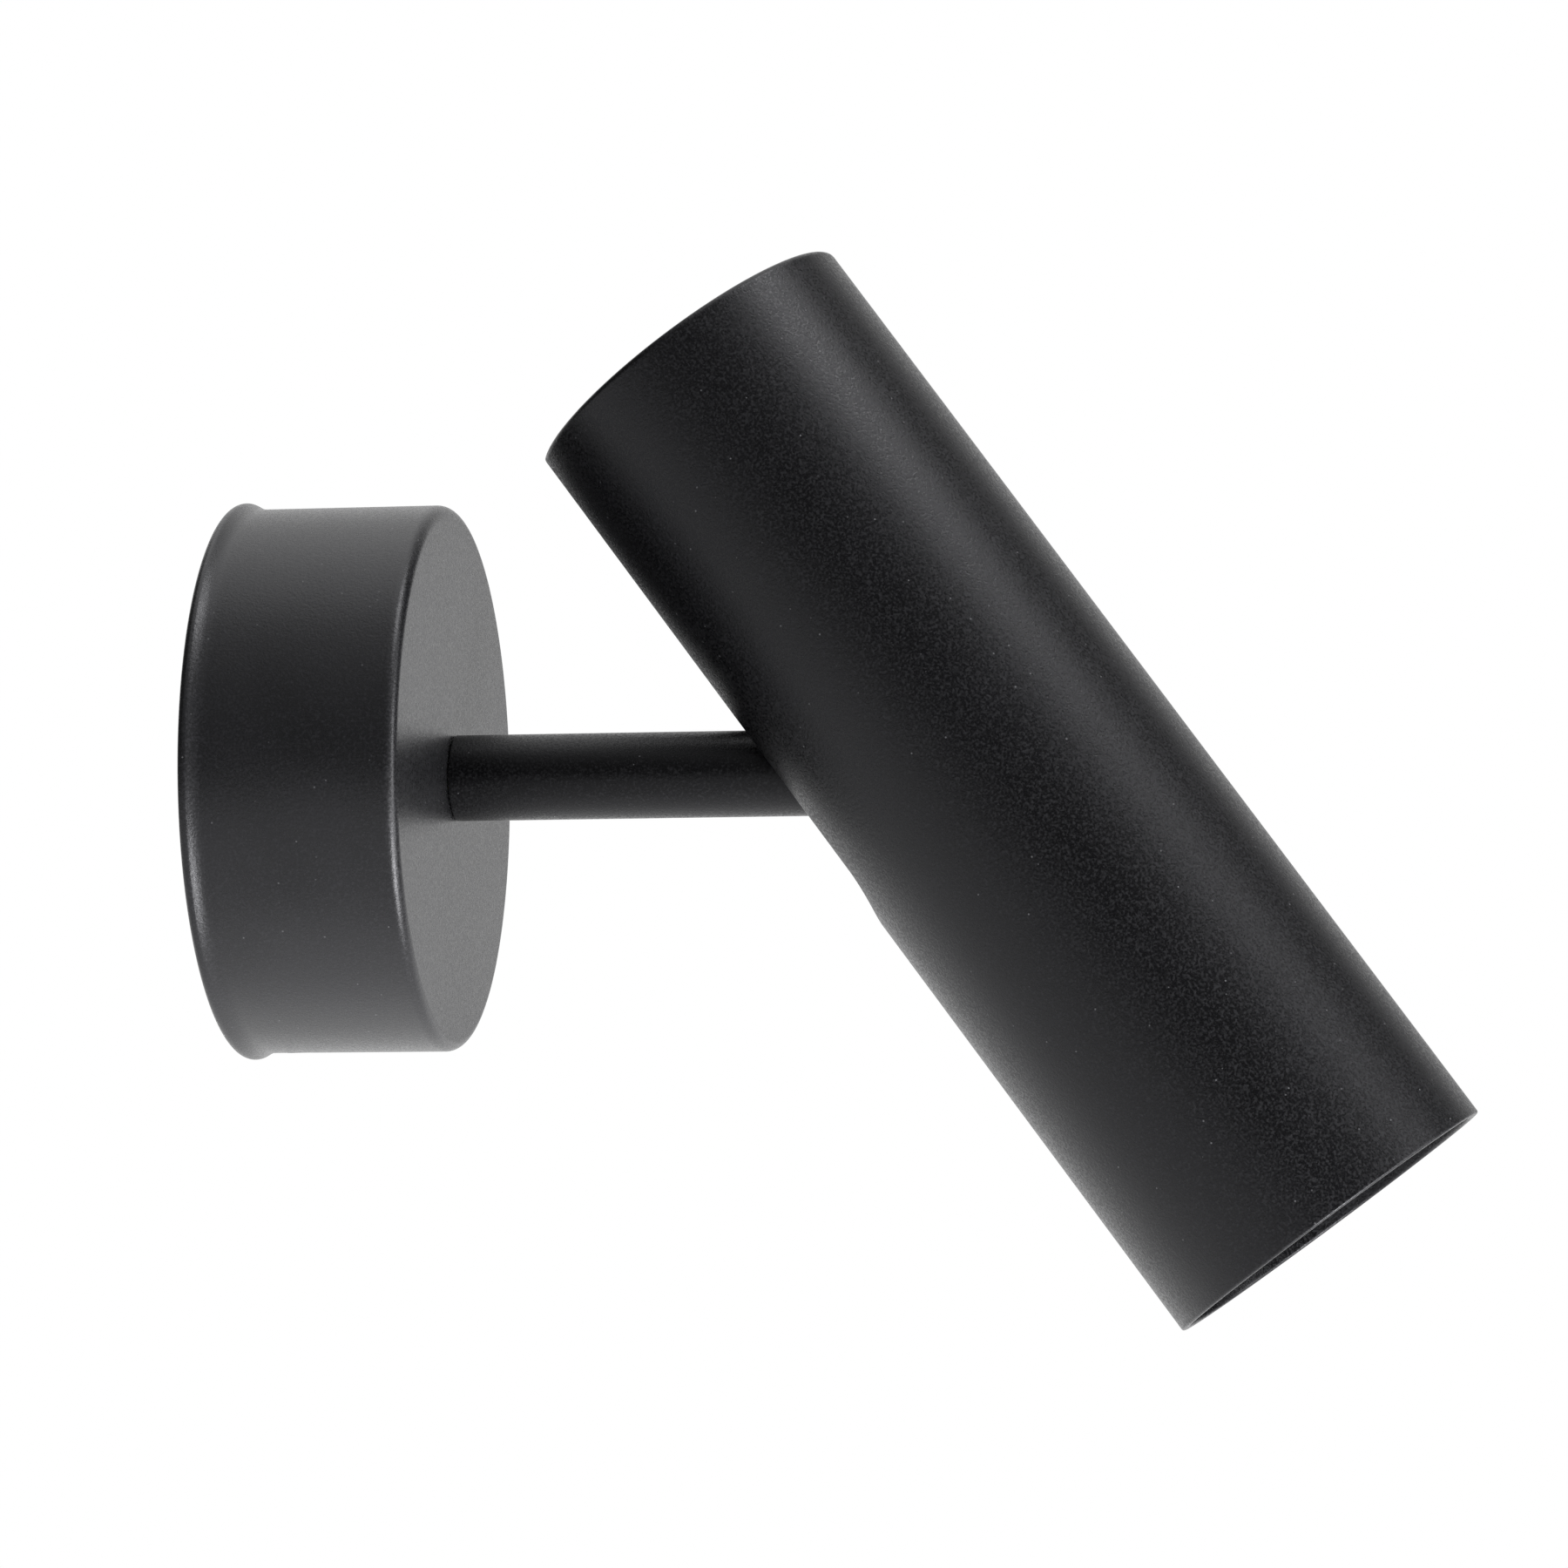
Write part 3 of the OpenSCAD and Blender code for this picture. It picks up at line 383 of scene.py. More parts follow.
def circleRing(radius, z, sides=48):
    return [(x, y, z) for x, y in circleLoop(0, 0, radius, sides)]


# adds points to verts and gives their numbers
def added(verts, points):
    verts.extend(points)
    return list(range(len(verts) - len(points), len(verts)))


# faces between rows of vertex numbers; a closed skin comes back to its first row
def skin(rows, closed=False, roundRows=True):
    faces = []
    for low, high in zip(rows, rows[1:] + (rows[:1] if closed else [])):
        for k in range(len(low) if roundRows else len(low) - 1):
            on = (k + 1) % len(low)
            face = list(dict.fromkeys([low[k], low[on], high[on], high[k]]))
            if len(face) > 2:
                faces.append(face)
    return faces


# corners as (a, b) or (a, b, radius); each rounded one gets an arc and a holding point on both sides
def softCorners(corners, closed=False, steps=5, hold=0.2):
    points, count = [], len(corners)
    for i, corner in enumerate(corners):
        at = Vector(corner[:2])
        radius = corner[2] if len(corner) > 2 else 0
        if not radius or (not closed and i in (0, count - 1)):
            points.append(tuple(at))
            continue
        back = Vector(corners[i - 1][:2]) - at
        on = Vector(corners[(i + 1) % count][:2]) - at
        backWay, onWay = back.normalized(), on.normalized()
        half = acos(max(-1, min(1, backWay.dot(onWay)))) / 2
        cut = radius / tan(half)
        middle = at + (backWay + onWay).normalized() * (radius / sin(half))
        first, last = at + backWay * cut, at + onWay * cut
        if back.length > cut + 2 * hold:
            points.append(tuple(first + backWay * hold))
        start = first - middle
        turn = start.angle_signed(last - middle)
        for swing in [-turn * k / steps for k in range(steps + 1)]:
            points.append((middle.x + start.x * cos(swing) - start.y * sin(swing),
                           middle.y + start.x * sin(swing) + start.y * cos(swing)))
        if on.length > cut + 2 * hold:
            points.append(tuple(last + onWay * hold))
    return points


# revolves (radius, z) points round z; a closed profile makes a ring
def latheMesh(profile, sides, closed=False):
    verts, rows = [], []
    for radius, z in profile:
        if radius < 1e-6:
            rows.append([len(verts)] * sides)
            verts.append((0, 0, z))
        else:
            rows.append(added(verts, circleRing(radius, z, sides)))
    return verts, skin(rows, closed)


# a turned part from corners as (radius, z) or (radius, z, rounding)
def spun(corners, sides=96, closed=True, steps=5, hold=0.2):
    return latheMesh(softCorners(corners, closed, steps, hold), sides, closed)


# a plain ring's corners for spun, with the rounding of the bore's edges and of the outer ones
def ringCorners(bore, radius, start, end, boreRound, outerRound):
    return [(bore, start, boreRound), (radius, start, outerRound), (radius, end, outerRound),
            (bore, end, boreRound)]


# moves a closed outline towards the material, which lies on its left
def inset(loop, by):
    shrunk, count = [], len(loop)
    for i in range(count):
        before, here, after = Vector(loop[i - 1]), Vector(loop[i]), Vector(loop[(i + 1) % count])
        one, two = (here - before).normalized(), (after - here).normalized()
        left, right = Vector((-one.y, one.x)), Vector((-two.y, two.x))
        middle = left + right
        middle = middle.normalized() if middle.length > 1e-6 else left
        shrunk.append(tuple(here + middle * (by / max(0.35, middle.dot(left)))))
    return shrunk


def counterClockwise(loop):
    area = sum(a[0] * b[1] - b[0] * a[1] for a, b in zip(loop, loop[1:] + loop[:1]))
    return loop if area > 0 else loop[::-1]


# a flat plate from z = 0 to thick, with holes and with all its edges rounded
def plateMesh(outline, holes, thick, edge=0.2, steps=3, hold=0.12, openOutline=False):
    loops = [counterClockwise(outline)] + [counterClockwise(hole)[::-1] for hole in holes]
    levels = [(edge + hold, 0.0)] + arc(edge, edge, edge, -90, -180, steps)  # inwards, z
    levels += [(by, thick - z) for by, z in reversed(levels)]
    verts, faces, caps = [], [], ([], [])
    for number, loop in enumerate(loops):
        openHere = openOutline and number == 0
        rows = [added(verts, [(x, y, z) for x, y in (inset(loop, by) if by else loop)])
                for by, z in ([(0, 0.0), (0, thick)] if openHere else levels)]
        if not openHere:
            faces += skin(rows)
        caps[0].append(rows[0])
        caps[1].append(rows[-1])
    for cap in caps:
        flat = [i for row in cap for i in row]
        fans = tessellate_polygon([[Vector((*verts[i][:2], 0)) for i in row] for row in cap])
        faces += [[flat[i] for i in fan] for fan in fans]
    return verts, faces


# several meshes in one
def together(*parts):
    verts, faces = [], []
    for partVerts, partFaces in parts:
        start = len(verts)
        verts += list(partVerts)
        faces += [[start + i for i in face] for face in partFaces]
    return verts, faces


def moved(part, matrix):
    return [tuple(matrix @ Vector(v)) for v in part[0]], part[1]


def shifted(part, x, y, z):
    return moved(part, Matrix.Translation((x, y, z)))


def turnedAbout(part, angle, axis):
    return moved(part, Matrix.Rotation(radians(angle), 4, axis))


# stands a plate up: its outline goes into y and z, and its thickness from x onwards
def upright(part, x):
    return moved(part, Matrix(((0, 0, 1, x), (1, 0, 0, 0), (0, 1, 0, 0), (0, 0, 0, 1))))


def mirroredX(part):
    return [(-x, y, z) for x, y, z in part[0]], part[1]


# the part and its mirror image at -x
def bothSides(part):
    verts, faces = mirroredX(part)
    return together(part, (verts, [face[::-1] for face in faces]))


# the part twice, at opposite places in x and y and at one z
def twice(part, x, y, z):
    return together(*[shifted(part, side * x, side * y, z) for side in (-1, 1)])


# rings of equal counts joined in order, with their ends closed or joined to each other
def ringMesh(rings, loop=False):
    verts = []
    rows = [added(verts, [tuple(point) for point in ring]) for ring in rings]
    return verts, skin(rows, loop) + ([] if loop else [rows[0], rows[-1]])


# the camera, fitted to the photograph: its aim is aimOut from the wall and aimUp above the arm's axis
cameraSet = {
    "turn": 9.254,          # degrees from square on, towards the canopy's face
    "rise": -3.198,
    "roll": -0.3725,
    "away": 1.0,            # metres
    "aimOut": 0.091579,
    "aimUp": -0.001808,
    "lens": 138.06,
    "sensor": 36.0,
}
turn, rise, roll = [radians(cameraSet[name]) for name in ("turn", "rise", "roll")]
towards = Vector((-cos(turn) * cos(rise), -sin(turn) * cos(rise), sin(rise)))
right = Vector((0, 0, 1)).cross(towards).normalized()
upward = towards.cross(right)
rolledRight = cos(roll) * right + sin(roll) * upward
rolledUp = cos(roll) * upward - sin(roll) * right
eye = Vector((0, -cameraSet["aimOut"], cameraSet["aimUp"])) + cameraSet["away"] * towards
camera = bpy.data.objects.new("camera", bpy.data.cameras.new("camera"))
camera.data.lens = cameraSet["lens"]
camera.data.sensor_fit = "HORIZONTAL"
camera.data.sensor_width = cameraSet["sensor"]
camera.data.clip_start = 0.01
camera.matrix_world = Matrix((
    (rolledRight.x, rolledUp.x, towards.x, eye.x),
    (rolledRight.y, rolledUp.y, towards.y, eye.y),
    (rolledRight.z, rolledUp.z, towards.z, eye.z),
    (0, 0, 0, 1)))
bpy.context.scene.collection.objects.link(camera)
bpy.context.scene.camera = camera
print("camera set")


# canopy cup: pressed sheet with a rolled back rim
canopy = {
    "radius": 45.8, "depth": 35.8, "sheet": 1.2, "frontRound": 2.0, "rim": 1.05, "rimProud": 1.1,
    "bushHole": 6.2, "grubZ": 9.0, "grubHole": 2.3, "sides": 256,
    "flare": [(4.3, 0.0), (3.8, 0.03), (3.3, 0.13), (2.8, 0.31), (2.3, 0.54), (1.9, 0.77)],  # z, outwards
}
outer, inner, depth = canopy["radius"], canopy["radius"] - canopy["sheet"], canopy["depth"]
canopyProfile = softCorners([
    (inner, 0.0), (inner, depth - canopy["sheet"], canopy["frontRound"] - canopy["sheet"]),
    (canopy["bushHole"], depth - canopy["sheet"], 0.1), (canopy["bushHole"], depth, 0.25),
    (outer, depth, canopy["frontRound"]), (outer, 5.0)], steps=10)
canopyProfile += [(outer + out, z) for z, out in canopy["flare"]]
canopyProfile += arc(outer + canopy["rimProud"] - canopy["rim"], canopy["rim"], canopy["rim"], 29, -90, 17)
canopyCup = newPiece("canopyCup", latheMesh(canopyProfile, canopy["sides"], True), wallPlace, coats["canopy"])
carve(canopyCup, [cutterRod(turnedTo(wallPlace, (0, 0, canopy["grubZ"]), facingY), canopy["grubHole"],
                            side * 40, side * 50) for side in (-1, 1)])
fit(canopyCup, "wall_base", "canopy_cup")
print("canopy made")


# arm tube: cut square, its edges broken
arm = {"radius": 7.2, "bore": 6.0, "start": 35.95, "end": 114.6, "edge": 0.25, "innerEdge": 0.15}
armCorners = ringCorners(arm["bore"], arm["radius"], arm["start"], arm["end"], arm["innerEdge"], arm["edge"])
build("armTube", spun(armCorners, 160, steps=4), "arm", "black_coat", "arm_tube", look=coats["arm"])
print("arm made")


# head tube: drawn, closed top; the slot starts in a half circle on the tilt axis, runs up the back and over
# the top, and ends in a half circle on the tube's own axis. Rows run from the mouth to the top's middle,
# and columns run round from one side of the slot to the other.
head = {
    "radius": 30.0, "wall": 1.5, "above": 85.9, "below": 92.8, "topRound": 1.0, "topInner": 0.6,
    "slotHalf": 10.0, "slotEdge": 0.3, "lip": 0.4, "columns": 168, "closedRows": 27, "tipRows": 22,
}


# (radius, z, the slot's half width there) of every row of the outer or inner skin
def headRows(inside, half):
    sheet = head["wall"] if inside else 0
    bend = head["topInner"] if inside else head["topRound"]
    radius, top = head["radius"] - sheet, head["above"] - sheet
    start = head["below"] - head["lip"] - 0.25
    last, tip = head["closedRows"] - 1, head["tipRows"]
    flat = radius - bend - 0.2
    rows = [(radius, start + (half - start) * k / last, 0.0) for k in range(last + 1)]
    rows += [(radius, half * cos(a), half * sin(a)) for a in [pi / 2 * k / tip for k in range(1, tip + 1)]]
    rows += [(radius, -(top - bend - 0.2) * k / 24, half) for k in range(1, 25)]
    rows += [(r, -z, half) for r, z in arc(radius - bend, top - bend, bend, 0, 90, 8)]
    rows += [(flat + (half + 0.3 - flat) * k / 12, -top, half) for k in range(13)]
    return rows + [(half, -top, half)]


# one row's points from the slot's one side round to the other
def headRow(row, hold=0.3):
    radius, z, half = row
    columns = head["columns"]
    start = asin(min(1.0, half / radius))
    whole = tau - 2 * start
    near = hold / (radius * whole)
    shares = [0.0, near] + [near + (1 - 2 * near) * k / (columns - 1) for k in range(1, columns)] + [1.0]
    return [(radius * sin(start + whole * t), -radius * cos(start + whole * t), z) for t in shares]


def headTubeMesh():
    edge, wall, half, closedRows = [head[name] for name in ("slotEdge", "wall", "slotHalf", "closedRows")]
    verts = []

    # a row that runs all the way round ends on its first vertex
    def roundRow(row):
        ids = added(verts, headRow(row)[:-1])
        return ids + [ids[0]]

    # the slot's whole edge, as points or as vertex numbers; the first of its rows meets itself there
    def slotEdge(rows):
        sides = range(closedRows - 1, len(rows) - 1)
        return [rows[r][0] for r in sides] + rows[-1] + [rows[r][-1] for r in reversed(sides[1:])]

    # the same edge at a slot half width and a share of the wall's depth
    def layer(half, share):
        edges = [slotEdge([headRow(row) for row in headRows(inside, half)]) for inside in (False, True)]
        return added(verts, [tuple(Vector(a).lerp(Vector(b), share)) for a, b in zip(*edges)])

    grids = [[roundRow(row) if r < closedRows else added(verts, headRow(row))
              for r, row in enumerate(headRows(inside, half + edge))] for inside in (False, True)]
    softened = arc(edge, edge, edge, -90, -180, 4)[1:]  # inwards, depth
    loops = [slotEdge(grids[0])]
    loops += [layer(half + by, deep / wall) for by, deep in softened]
    loops += [layer(half + by, 1 - deep / wall) for by, deep in reversed(softened)]
    loops.append(slotEdge(grids[1]))

    # the mouth's lip, from the outer skin round to the inner one
    lip, end, outside = head["lip"], head["below"], head["radius"]
    lipProfile = arc(outside - lip, end - lip, lip, 0, 90, 5)
    lipProfile += arc(outside - wall + lip, end - lip, lip, 90, 180, 5)
    lipRows = [grids[0][0]] + [roundRow((radius, z, 0.0)) for radius, z in lipProfile] + [grids[1][0]]
    faces = [face for rows in (*grids, lipRows) for face in skin(rows, roundRows=False)]
    return verts, faces + skin(loops)


build("headTube", headTubeMesh(), "head", "black_coat", "head_tube")
print("head tube made")


def circleRings(*places):
    return [circleRing(radius, z) for radius, z in places]


# a ring on a hexagon with a corner on x; beyond free it slopes, as a chamfered nut's corners do
def hexRing(apothem, z, free=None, slope=0.0, sides=48):
    ring = []
    for a in [tau * k / sides for k in range(sides)]:
        radius = apothem / cos(a % (pi / 3) - pi / 6)
        sink = slope * max(0.0, radius - free) if free else 0.0
        ring.append((radius * cos(a), radius * sin(a), z + sink))
    return ring


# a screw thread as rings, fading out at both ends
def threadRings(radius, start, end, pitch, sides=48):
    rows = max(4, round(abs(end - start) / pitch * 6))
    rings = []
    for k in range(rows + 1):
        z = start + (end - start) * k / rows
        fade = min(1.0, k / 4, (rows - k) / 4)
        ring = []
        for a in [tau * j / sides for j in range(sides)]:
            cut = 0.3 * pitch * fade * (1 - cos(tau * z / pitch + a))
            ring.append(((radius - cut) * cos(a), (radius - cut) * sin(a), z))
        rings.append(ring)
    return rings


# the head's underside is at z = 0 and the shank runs to +z; the drive is a hexagon socket
def screwMesh(spec):
    headR, headH, shank = spec["headD"] / 2, spec["headH"], spec["d"] / 2
    flat = spec["drive"] / 2 * cos(pi / 6)
    crown = headH * 0.45
    rings = [hexRing(flat, -0.4 * headH), hexRing(flat, -headH + 0.12), hexRing(flat + 0.12, -headH)]
    rings += circleRings(*arc(headR - crown, crown - headH, crown, -90, 0, 6), (headR, -0.15),
                         (headR - 0.12, 0), (shank + 0.15, 0), (shank, 0.15))
    rings += threadRings(shank, spec.get("plain", 0.4), spec["len"] - 0.3, spec["pitch"])
    return ringMesh(rings + circleRings((shank - 0.3, spec["len"])))


def nutMesh(spec):
    half, bore, high = spec["acrossFlats"] / 2, spec["bore"], spec["high"]
    free = 0.96 * half
    rings = circleRings((bore, 0.3), (bore + 0.3, 0), (free, 0))
    rings += [hexRing(half, 0, free, 0.5), hexRing(half, high, free, -0.5)]
    rings += circleRings((free, high), (bore + 0.3, high), (bore, high - 0.3))
    return ringMesh(rings, loop=True)


def roundedBox(wide, long, corner, x=0.0, steps=6):
    loop = []
    for turn, (cx, cy) in enumerate(((1, 1), (-1, 1), (-1, -1), (1, -1))):
        loop += arc(x + cx * (wide / 2 - corner), cy * (long / 2 - corner), corner,
                    90 * turn, 90 * turn + 90, steps)
    return loop


def slotLoop(y, wide, long, steps=12):
    reach = (long - wide) / 2
    return arc(0, y + reach, wide / 2, 0, 180, steps) + arc(0, y - reach, wide / 2, 180, 360, steps)


# a route of straight runs with its corners rounded
def roundedRoute(route, bend, steps=9):
    points = [Vector(p) for p in route]
    last = len(points) - 1
    path = [points[0]]
    for i in range(1, last):
        back, on = points[i - 1] - points[i], points[i + 1] - points[i]
        cut = min(bend, back.length * (0.95 if i == 1 else 0.48),
                  on.length * (0.95 if i == last - 1 else 0.48))
        for t in [k / steps for k in range(steps + 1)]:
            path.append(points[i] + cut * ((1 - t) ** 2 * back.normalized() + t ** 2 * on.normalized()))
    return path + [points[last]]


# a lead's skin along a route, its ends slightly rounded
def leadMesh(route, bend, radius=0.9, tip=0.15, sides=20):
    path = roundedRoute(route, bend)
    first, end = (path[1] - path[0]).normalized(), (path[-1] - path[-2]).normalized()
    path = [path[0], path[0] + first * tip] + path[1:-1] + [path[-1] - end * tip, path[-1]]
    last = len(path) - 1
    rings, side = [], Vector((0.31, 0.52, 0.79))
    for i, point in enumerate(path):
        tangent = (path[min(i + 1, last)] - path[max(i - 1, 0)]).normalized()
        side = (side - side.dot(tangent) * tangent).normalized()
        third = tangent.cross(side)
        size = radius - (tip if i in (0, last) else 0.0)
        rings.append([point + x * side + y * third for x, y in circleLoop(0, 0, size, sides)])
    return ringMesh(rings)


# wall bracket: a strap with two screw slots, its narrower ears bent forward
bracket = {
    "wide": 22, "reach": 43.99, "sheet": 1.5, "corner": 6, "slotAt": 30, "slotWide": 4.5, "slotLong": 12,
    "earWide": 12, "earHigh": 15, "earCorner": 3, "bend": 0.8, "grubAt": 9, "grubHole": 2.05,
    "earthAt": 14, "earthHole": 2.05, "blockAt": -12, "blockHoleX": 4.75, "blockHole": 1.05,
}
strapHoles = [slotLoop(side * bracket["slotAt"], bracket["slotWide"], bracket["slotLong"])
              for side in (-1, 1)]
strapHoles += [circleLoop(0, bracket["earthAt"], bracket["earthHole"])]
strapHoles += [circleLoop(side * bracket["blockHoleX"], bracket["blockAt"], bracket["blockHole"], 24)
               for side in (-1, 1)]
strapEnd = bracket["reach"] - bracket["sheet"] - bracket["bend"]
strapOutline = roundedBox(bracket["wide"], 2 * strapEnd + 1, bracket["corner"], steps=10)
wallBracket = newPiece("wallBracket", plateMesh(strapOutline, strapHoles, bracket["sheet"], 0.25), wallPlace,
                       looks["zinc_steel"])


# the bent ear, drawn across its width from the strap, round the bend, to its end
def earMesh(side):
    half, sheet = bracket["earWide"] / 2, bracket["sheet"]
    top, corner = bracket["earHigh"], bracket["earCorner"]
    bend, out = bracket["bend"] + sheet / 2, bracket["reach"] - sheet / 2
    stations = [(strapEnd - 5, sheet / 2, 0, 1, half)]
    for s, c in [(sin(a), cos(a)) for a in [pi / 2 * k / 8 for k in range(9)]]:
        stations.append((strapEnd + bend * s, sheet / 2 + bend * (1 - c), s, c, half))
    stations.append((out, top - corner, 1, 0, half))
    stations += [(out, z, 1, 0, reach) for reach, z in arc(half - corner, top - corner, corner, 0, 90, 8)[1:]]
    rings = []
    for i, (y, z, ny, nz, reach) in enumerate(stations):
        thin = sheet / 2 - (0.02 if i else 0.03)
        section = [(-reach, -0.72), (-reach + 0.25, -1), (0, -1), (reach - 0.25, -1), (reach, -0.72)]
        section += [(x, -off) for x, off in reversed(section)]
        rings.append([(x, side * (y + ny * thin * off), z - nz * thin * off) for x, off in section])
    return ringMesh(rings)


for side in (-1, 1):
    ear = newPiece("ear", earMesh(side), wallPlace, looks["zinc_steel"])
    carve(ear, [cutterRod(turnedTo(wallPlace, (0, 0, bracket["grubAt"]), facingY), bracket["grubHole"],
                          side * 38, side * 50, 40)])
    carve(wallBracket, [ear], "UNION")
fit(wallBracket, "wall_base", "wall_bracket")

grub = {"d": 4, "len": 6, "socket": 2, "out": 45.4, "at": 9, "pitch": 0.7}
socket, grubR = grub["socket"] / 2 * cos(pi / 6), grub["d"] / 2
grubRings = [hexRing(socket, 2.4), hexRing(socket, 0.12), hexRing(socket + 0.12, 0),
             circleRing(grubR - 0.3, 0)]
grubRings += threadRings(grubR, 0.3, grub["len"] - 0.6, grub["pitch"])
grubRings += circleRings((grubR - 0.6, grub["len"]), (0.6, grub["len"] - 0.5))
grubPair = [shifted(turnedAbout(ringMesh(grubRings), side * 90, "X"), 0, side * grub["out"], grub["at"])
            for side in (1, -1)]
build("grubScrews", together(*grubPair), "wall_base", "dark_steel", "canopy_grub_screws")
print("bracket made")


# terminal block: three arched ways on a bridge, two clamp towers on each
block = {
    "at": (0, -12, 1.5), "pitch": 9.5, "wayWide": 7.6, "long": 16, "high": 13, "wayHigh": 5.46, "bridge": 4,
    "towerAt": 4, "tower": 3.3, "towerBore": 1.7, "wayBore": 2.55, "screwX": 4.75, "screwHole": 1.1,
    "screwHead": 1.85, "edge": 0.45, "corner": 1.5, "bridgeEdge": 0.4,
}
blockPlace = turnedTo(wallPlace, block["at"])
archHalf, archUp, bore, high = block["wayWide"] / 2, block["wayHigh"], block["towerBore"], block["high"]
arch = [(-archHalf, 0), (archHalf, 0)] + arc(0, -archUp, archHalf, 0, -180, 20)
archLong = block["long"] - 0.1  # a little short, so that no end lies in the bridge's faces
archPart = turnedAbout(plateMesh(arch, [], archLong, block["edge"]), -90, "X")
archPart = shifted(archPart, 0, -archLong / 2, 0.05)
bridgeOutline = roundedBox(2 * block["pitch"] + block["wayWide"], block["long"], block["corner"])
terminalBlock = newPiece("terminalBlock", plateMesh(bridgeOutline, [], block["bridge"], block["bridgeEdge"]),
                         blockPlace, looks["white_nylon"])
towerPart = spun([(0, archUp), (block["tower"], archUp), (block["tower"], high, 0.5), (0, high)],
                 40, False, 4)
holePart = latheMesh([(0, archUp), (bore, archUp), (bore, high - 0.35), (bore + 0.4, high + 0.05),
                      (bore + 0.4, 15), (0, 15)], 40)
adds, cuts = [], []
for x in (-block["pitch"], 0, block["pitch"]):
    adds.append(newPiece("way", shifted(archPart, x, 0, 0), blockPlace, looks["white_nylon"]))
    cuts.append(cutterRod(turnedTo(blockPlace, (x, 0, archUp), facingY), block["wayBore"], -10, 10, 40))
    for y in (-block["towerAt"], block["towerAt"]):
        adds.append(newPiece("tower", shifted(towerPart, x, y, 0), blockPlace, looks["white_nylon"]))
        cuts.append(newPiece("hole", shifted(holePart, x, y, 0), blockPlace))
for side in (-1, 1):
    screwPlace = turnedTo(blockPlace, (side * block["screwX"], 0, 0))
    cuts.append(cutterRod(screwPlace, block["screwHole"], -1, 15, 32))
    cuts.append(cutterRod(screwPlace, block["screwHead"], block["bridge"], 15, 32))
carve(terminalBlock, adds, "UNION")
carve(terminalBlock, cuts)
fit(terminalBlock, "wall_base", "terminal_block")

clamp = {"r": 1.3, "headR": 1.6, "bottom": 7.86, "head": 9.56, "top": 13.0, "cutWide": 0.6, "cutDeep": 0.7}
clampRod = spun([
    (0, clamp["bottom"]), (clamp["r"], clamp["bottom"], 0.2), (clamp["r"], clamp["head"]),
    (clamp["headR"], clamp["head"], 0.15), (clamp["headR"], clamp["top"], 0.25), (0, clamp["top"]),
], 40, False)
slotBar = shifted(plateMesh(roundedBox(clamp["cutWide"], 8, 0.12), [], 2, 0.02, hold=0.02),
                  0, 0, clamp["top"] - clamp["cutDeep"])
clampScrews, clampCuts = [], []
for way in (-1, 0, 1):
    for y in (-block["towerAt"], block["towerAt"]):
        at = (way * block["pitch"], block["at"][1] + y, 0)
        clampScrews.append(shifted(clampRod, *at))
        bar = shifted(turnedAbout(slotBar, random.uniform(-70, 70), "Z"), *at)
        clampCuts.append(newPiece("cut", bar, wallPlace))
clampPiece = newPiece("terminalClampScrews", together(*clampScrews), wallPlace, looks["brass_parts"])
carve(clampPiece, clampCuts)
fit(clampPiece, "wall_base", "terminal_clamp_screws")

fixing = {"d": 2, "len": 5.5, "headD": 3.5, "headH": 1.4, "drive": 1, "pitch": 0.5}
fixingPart = shifted(turnedAbout(screwMesh(fixing), 180, "X"), 0, block["at"][1],
                     block["at"][2] + block["bridge"])
build("terminalFixingScrews", twice(fixingPart, block["screwX"], 0, 0), "wall_base", "zinc_steel",
      "terminal_fixing_screw")

earthBolt = {"d": 4, "len": 2.5, "headD": 7, "headH": 2.4, "drive": 2.5, "pitch": 0.7}
earth = {"at": 14, "lug": 1.0, "lugR": 3.9, "hole": 2.05, "neckHalf": 1.3, "neckStart": 7,
         "barrelBore": 0.92, "barrelR": 1.14, "barrelLong": 2.8, "barrelAt": (0, 5.7, 2.7)}
lugZ = bracket["sheet"]
build("earthScrew", shifted(turnedAbout(screwMesh(earthBolt), 180, "X"), 0, earth["at"], lugZ + earth["lug"]),
      "wall_base", "brass_parts", "earth_screw")
neckMeets = degrees(asin(earth["neckHalf"] / earth["lugR"]))
lugLoop = [(-earth["neckHalf"], earth["neckStart"]), (earth["neckHalf"], earth["neckStart"])]
lugLoop += arc(0, earth["at"], earth["lugR"], neckMeets - 90, 270 - neckMeets, 40)
lugPart = plateMesh(lugLoop, [circleLoop(0, earth["at"], earth["hole"])], earth["lug"] - 0.04, 0.15)
barrel = spun(ringCorners(earth["barrelBore"], earth["barrelR"], 0, earth["barrelLong"], 0.05, 0.08), 32)
barrelPart = shifted(turnedAbout(barrel, -90, "X"), *earth["barrelAt"])
build("earthLug", together(shifted(lugPart, 0, 0, lugZ + 0.02), barrelPart), "wall_base", "zinc_steel")

leads = {"terminalZ": 6.96, "pairX": 1.02}  # the height of a terminal's bore; where a pair's leads lie
wireZ, pairX = leads["terminalZ"], leads["pairX"]
earthRoute = [(0, -8, wireZ), (0, 1.5, wireZ), (0, 5, 2.7), (0, 8.4, 2.7)]
build("earthLead", leadMesh(earthRoute, 2), "wall_base", "earth_insulation", "earth_lead")
canopyRoute = [(9.5, -8, wireZ), (9.5, 1, wireZ), (8.5, 5, 9.96), (4.5, 4.4, 13.16), (pairX, 0, 15.65),
               (pairX, 0, 18.1)]
build("canopyLeads", bothSides(leadMesh(canopyRoute, 1.5)), "wall_base", "lead_insulation", "canopy_leads")
print("wiring made")


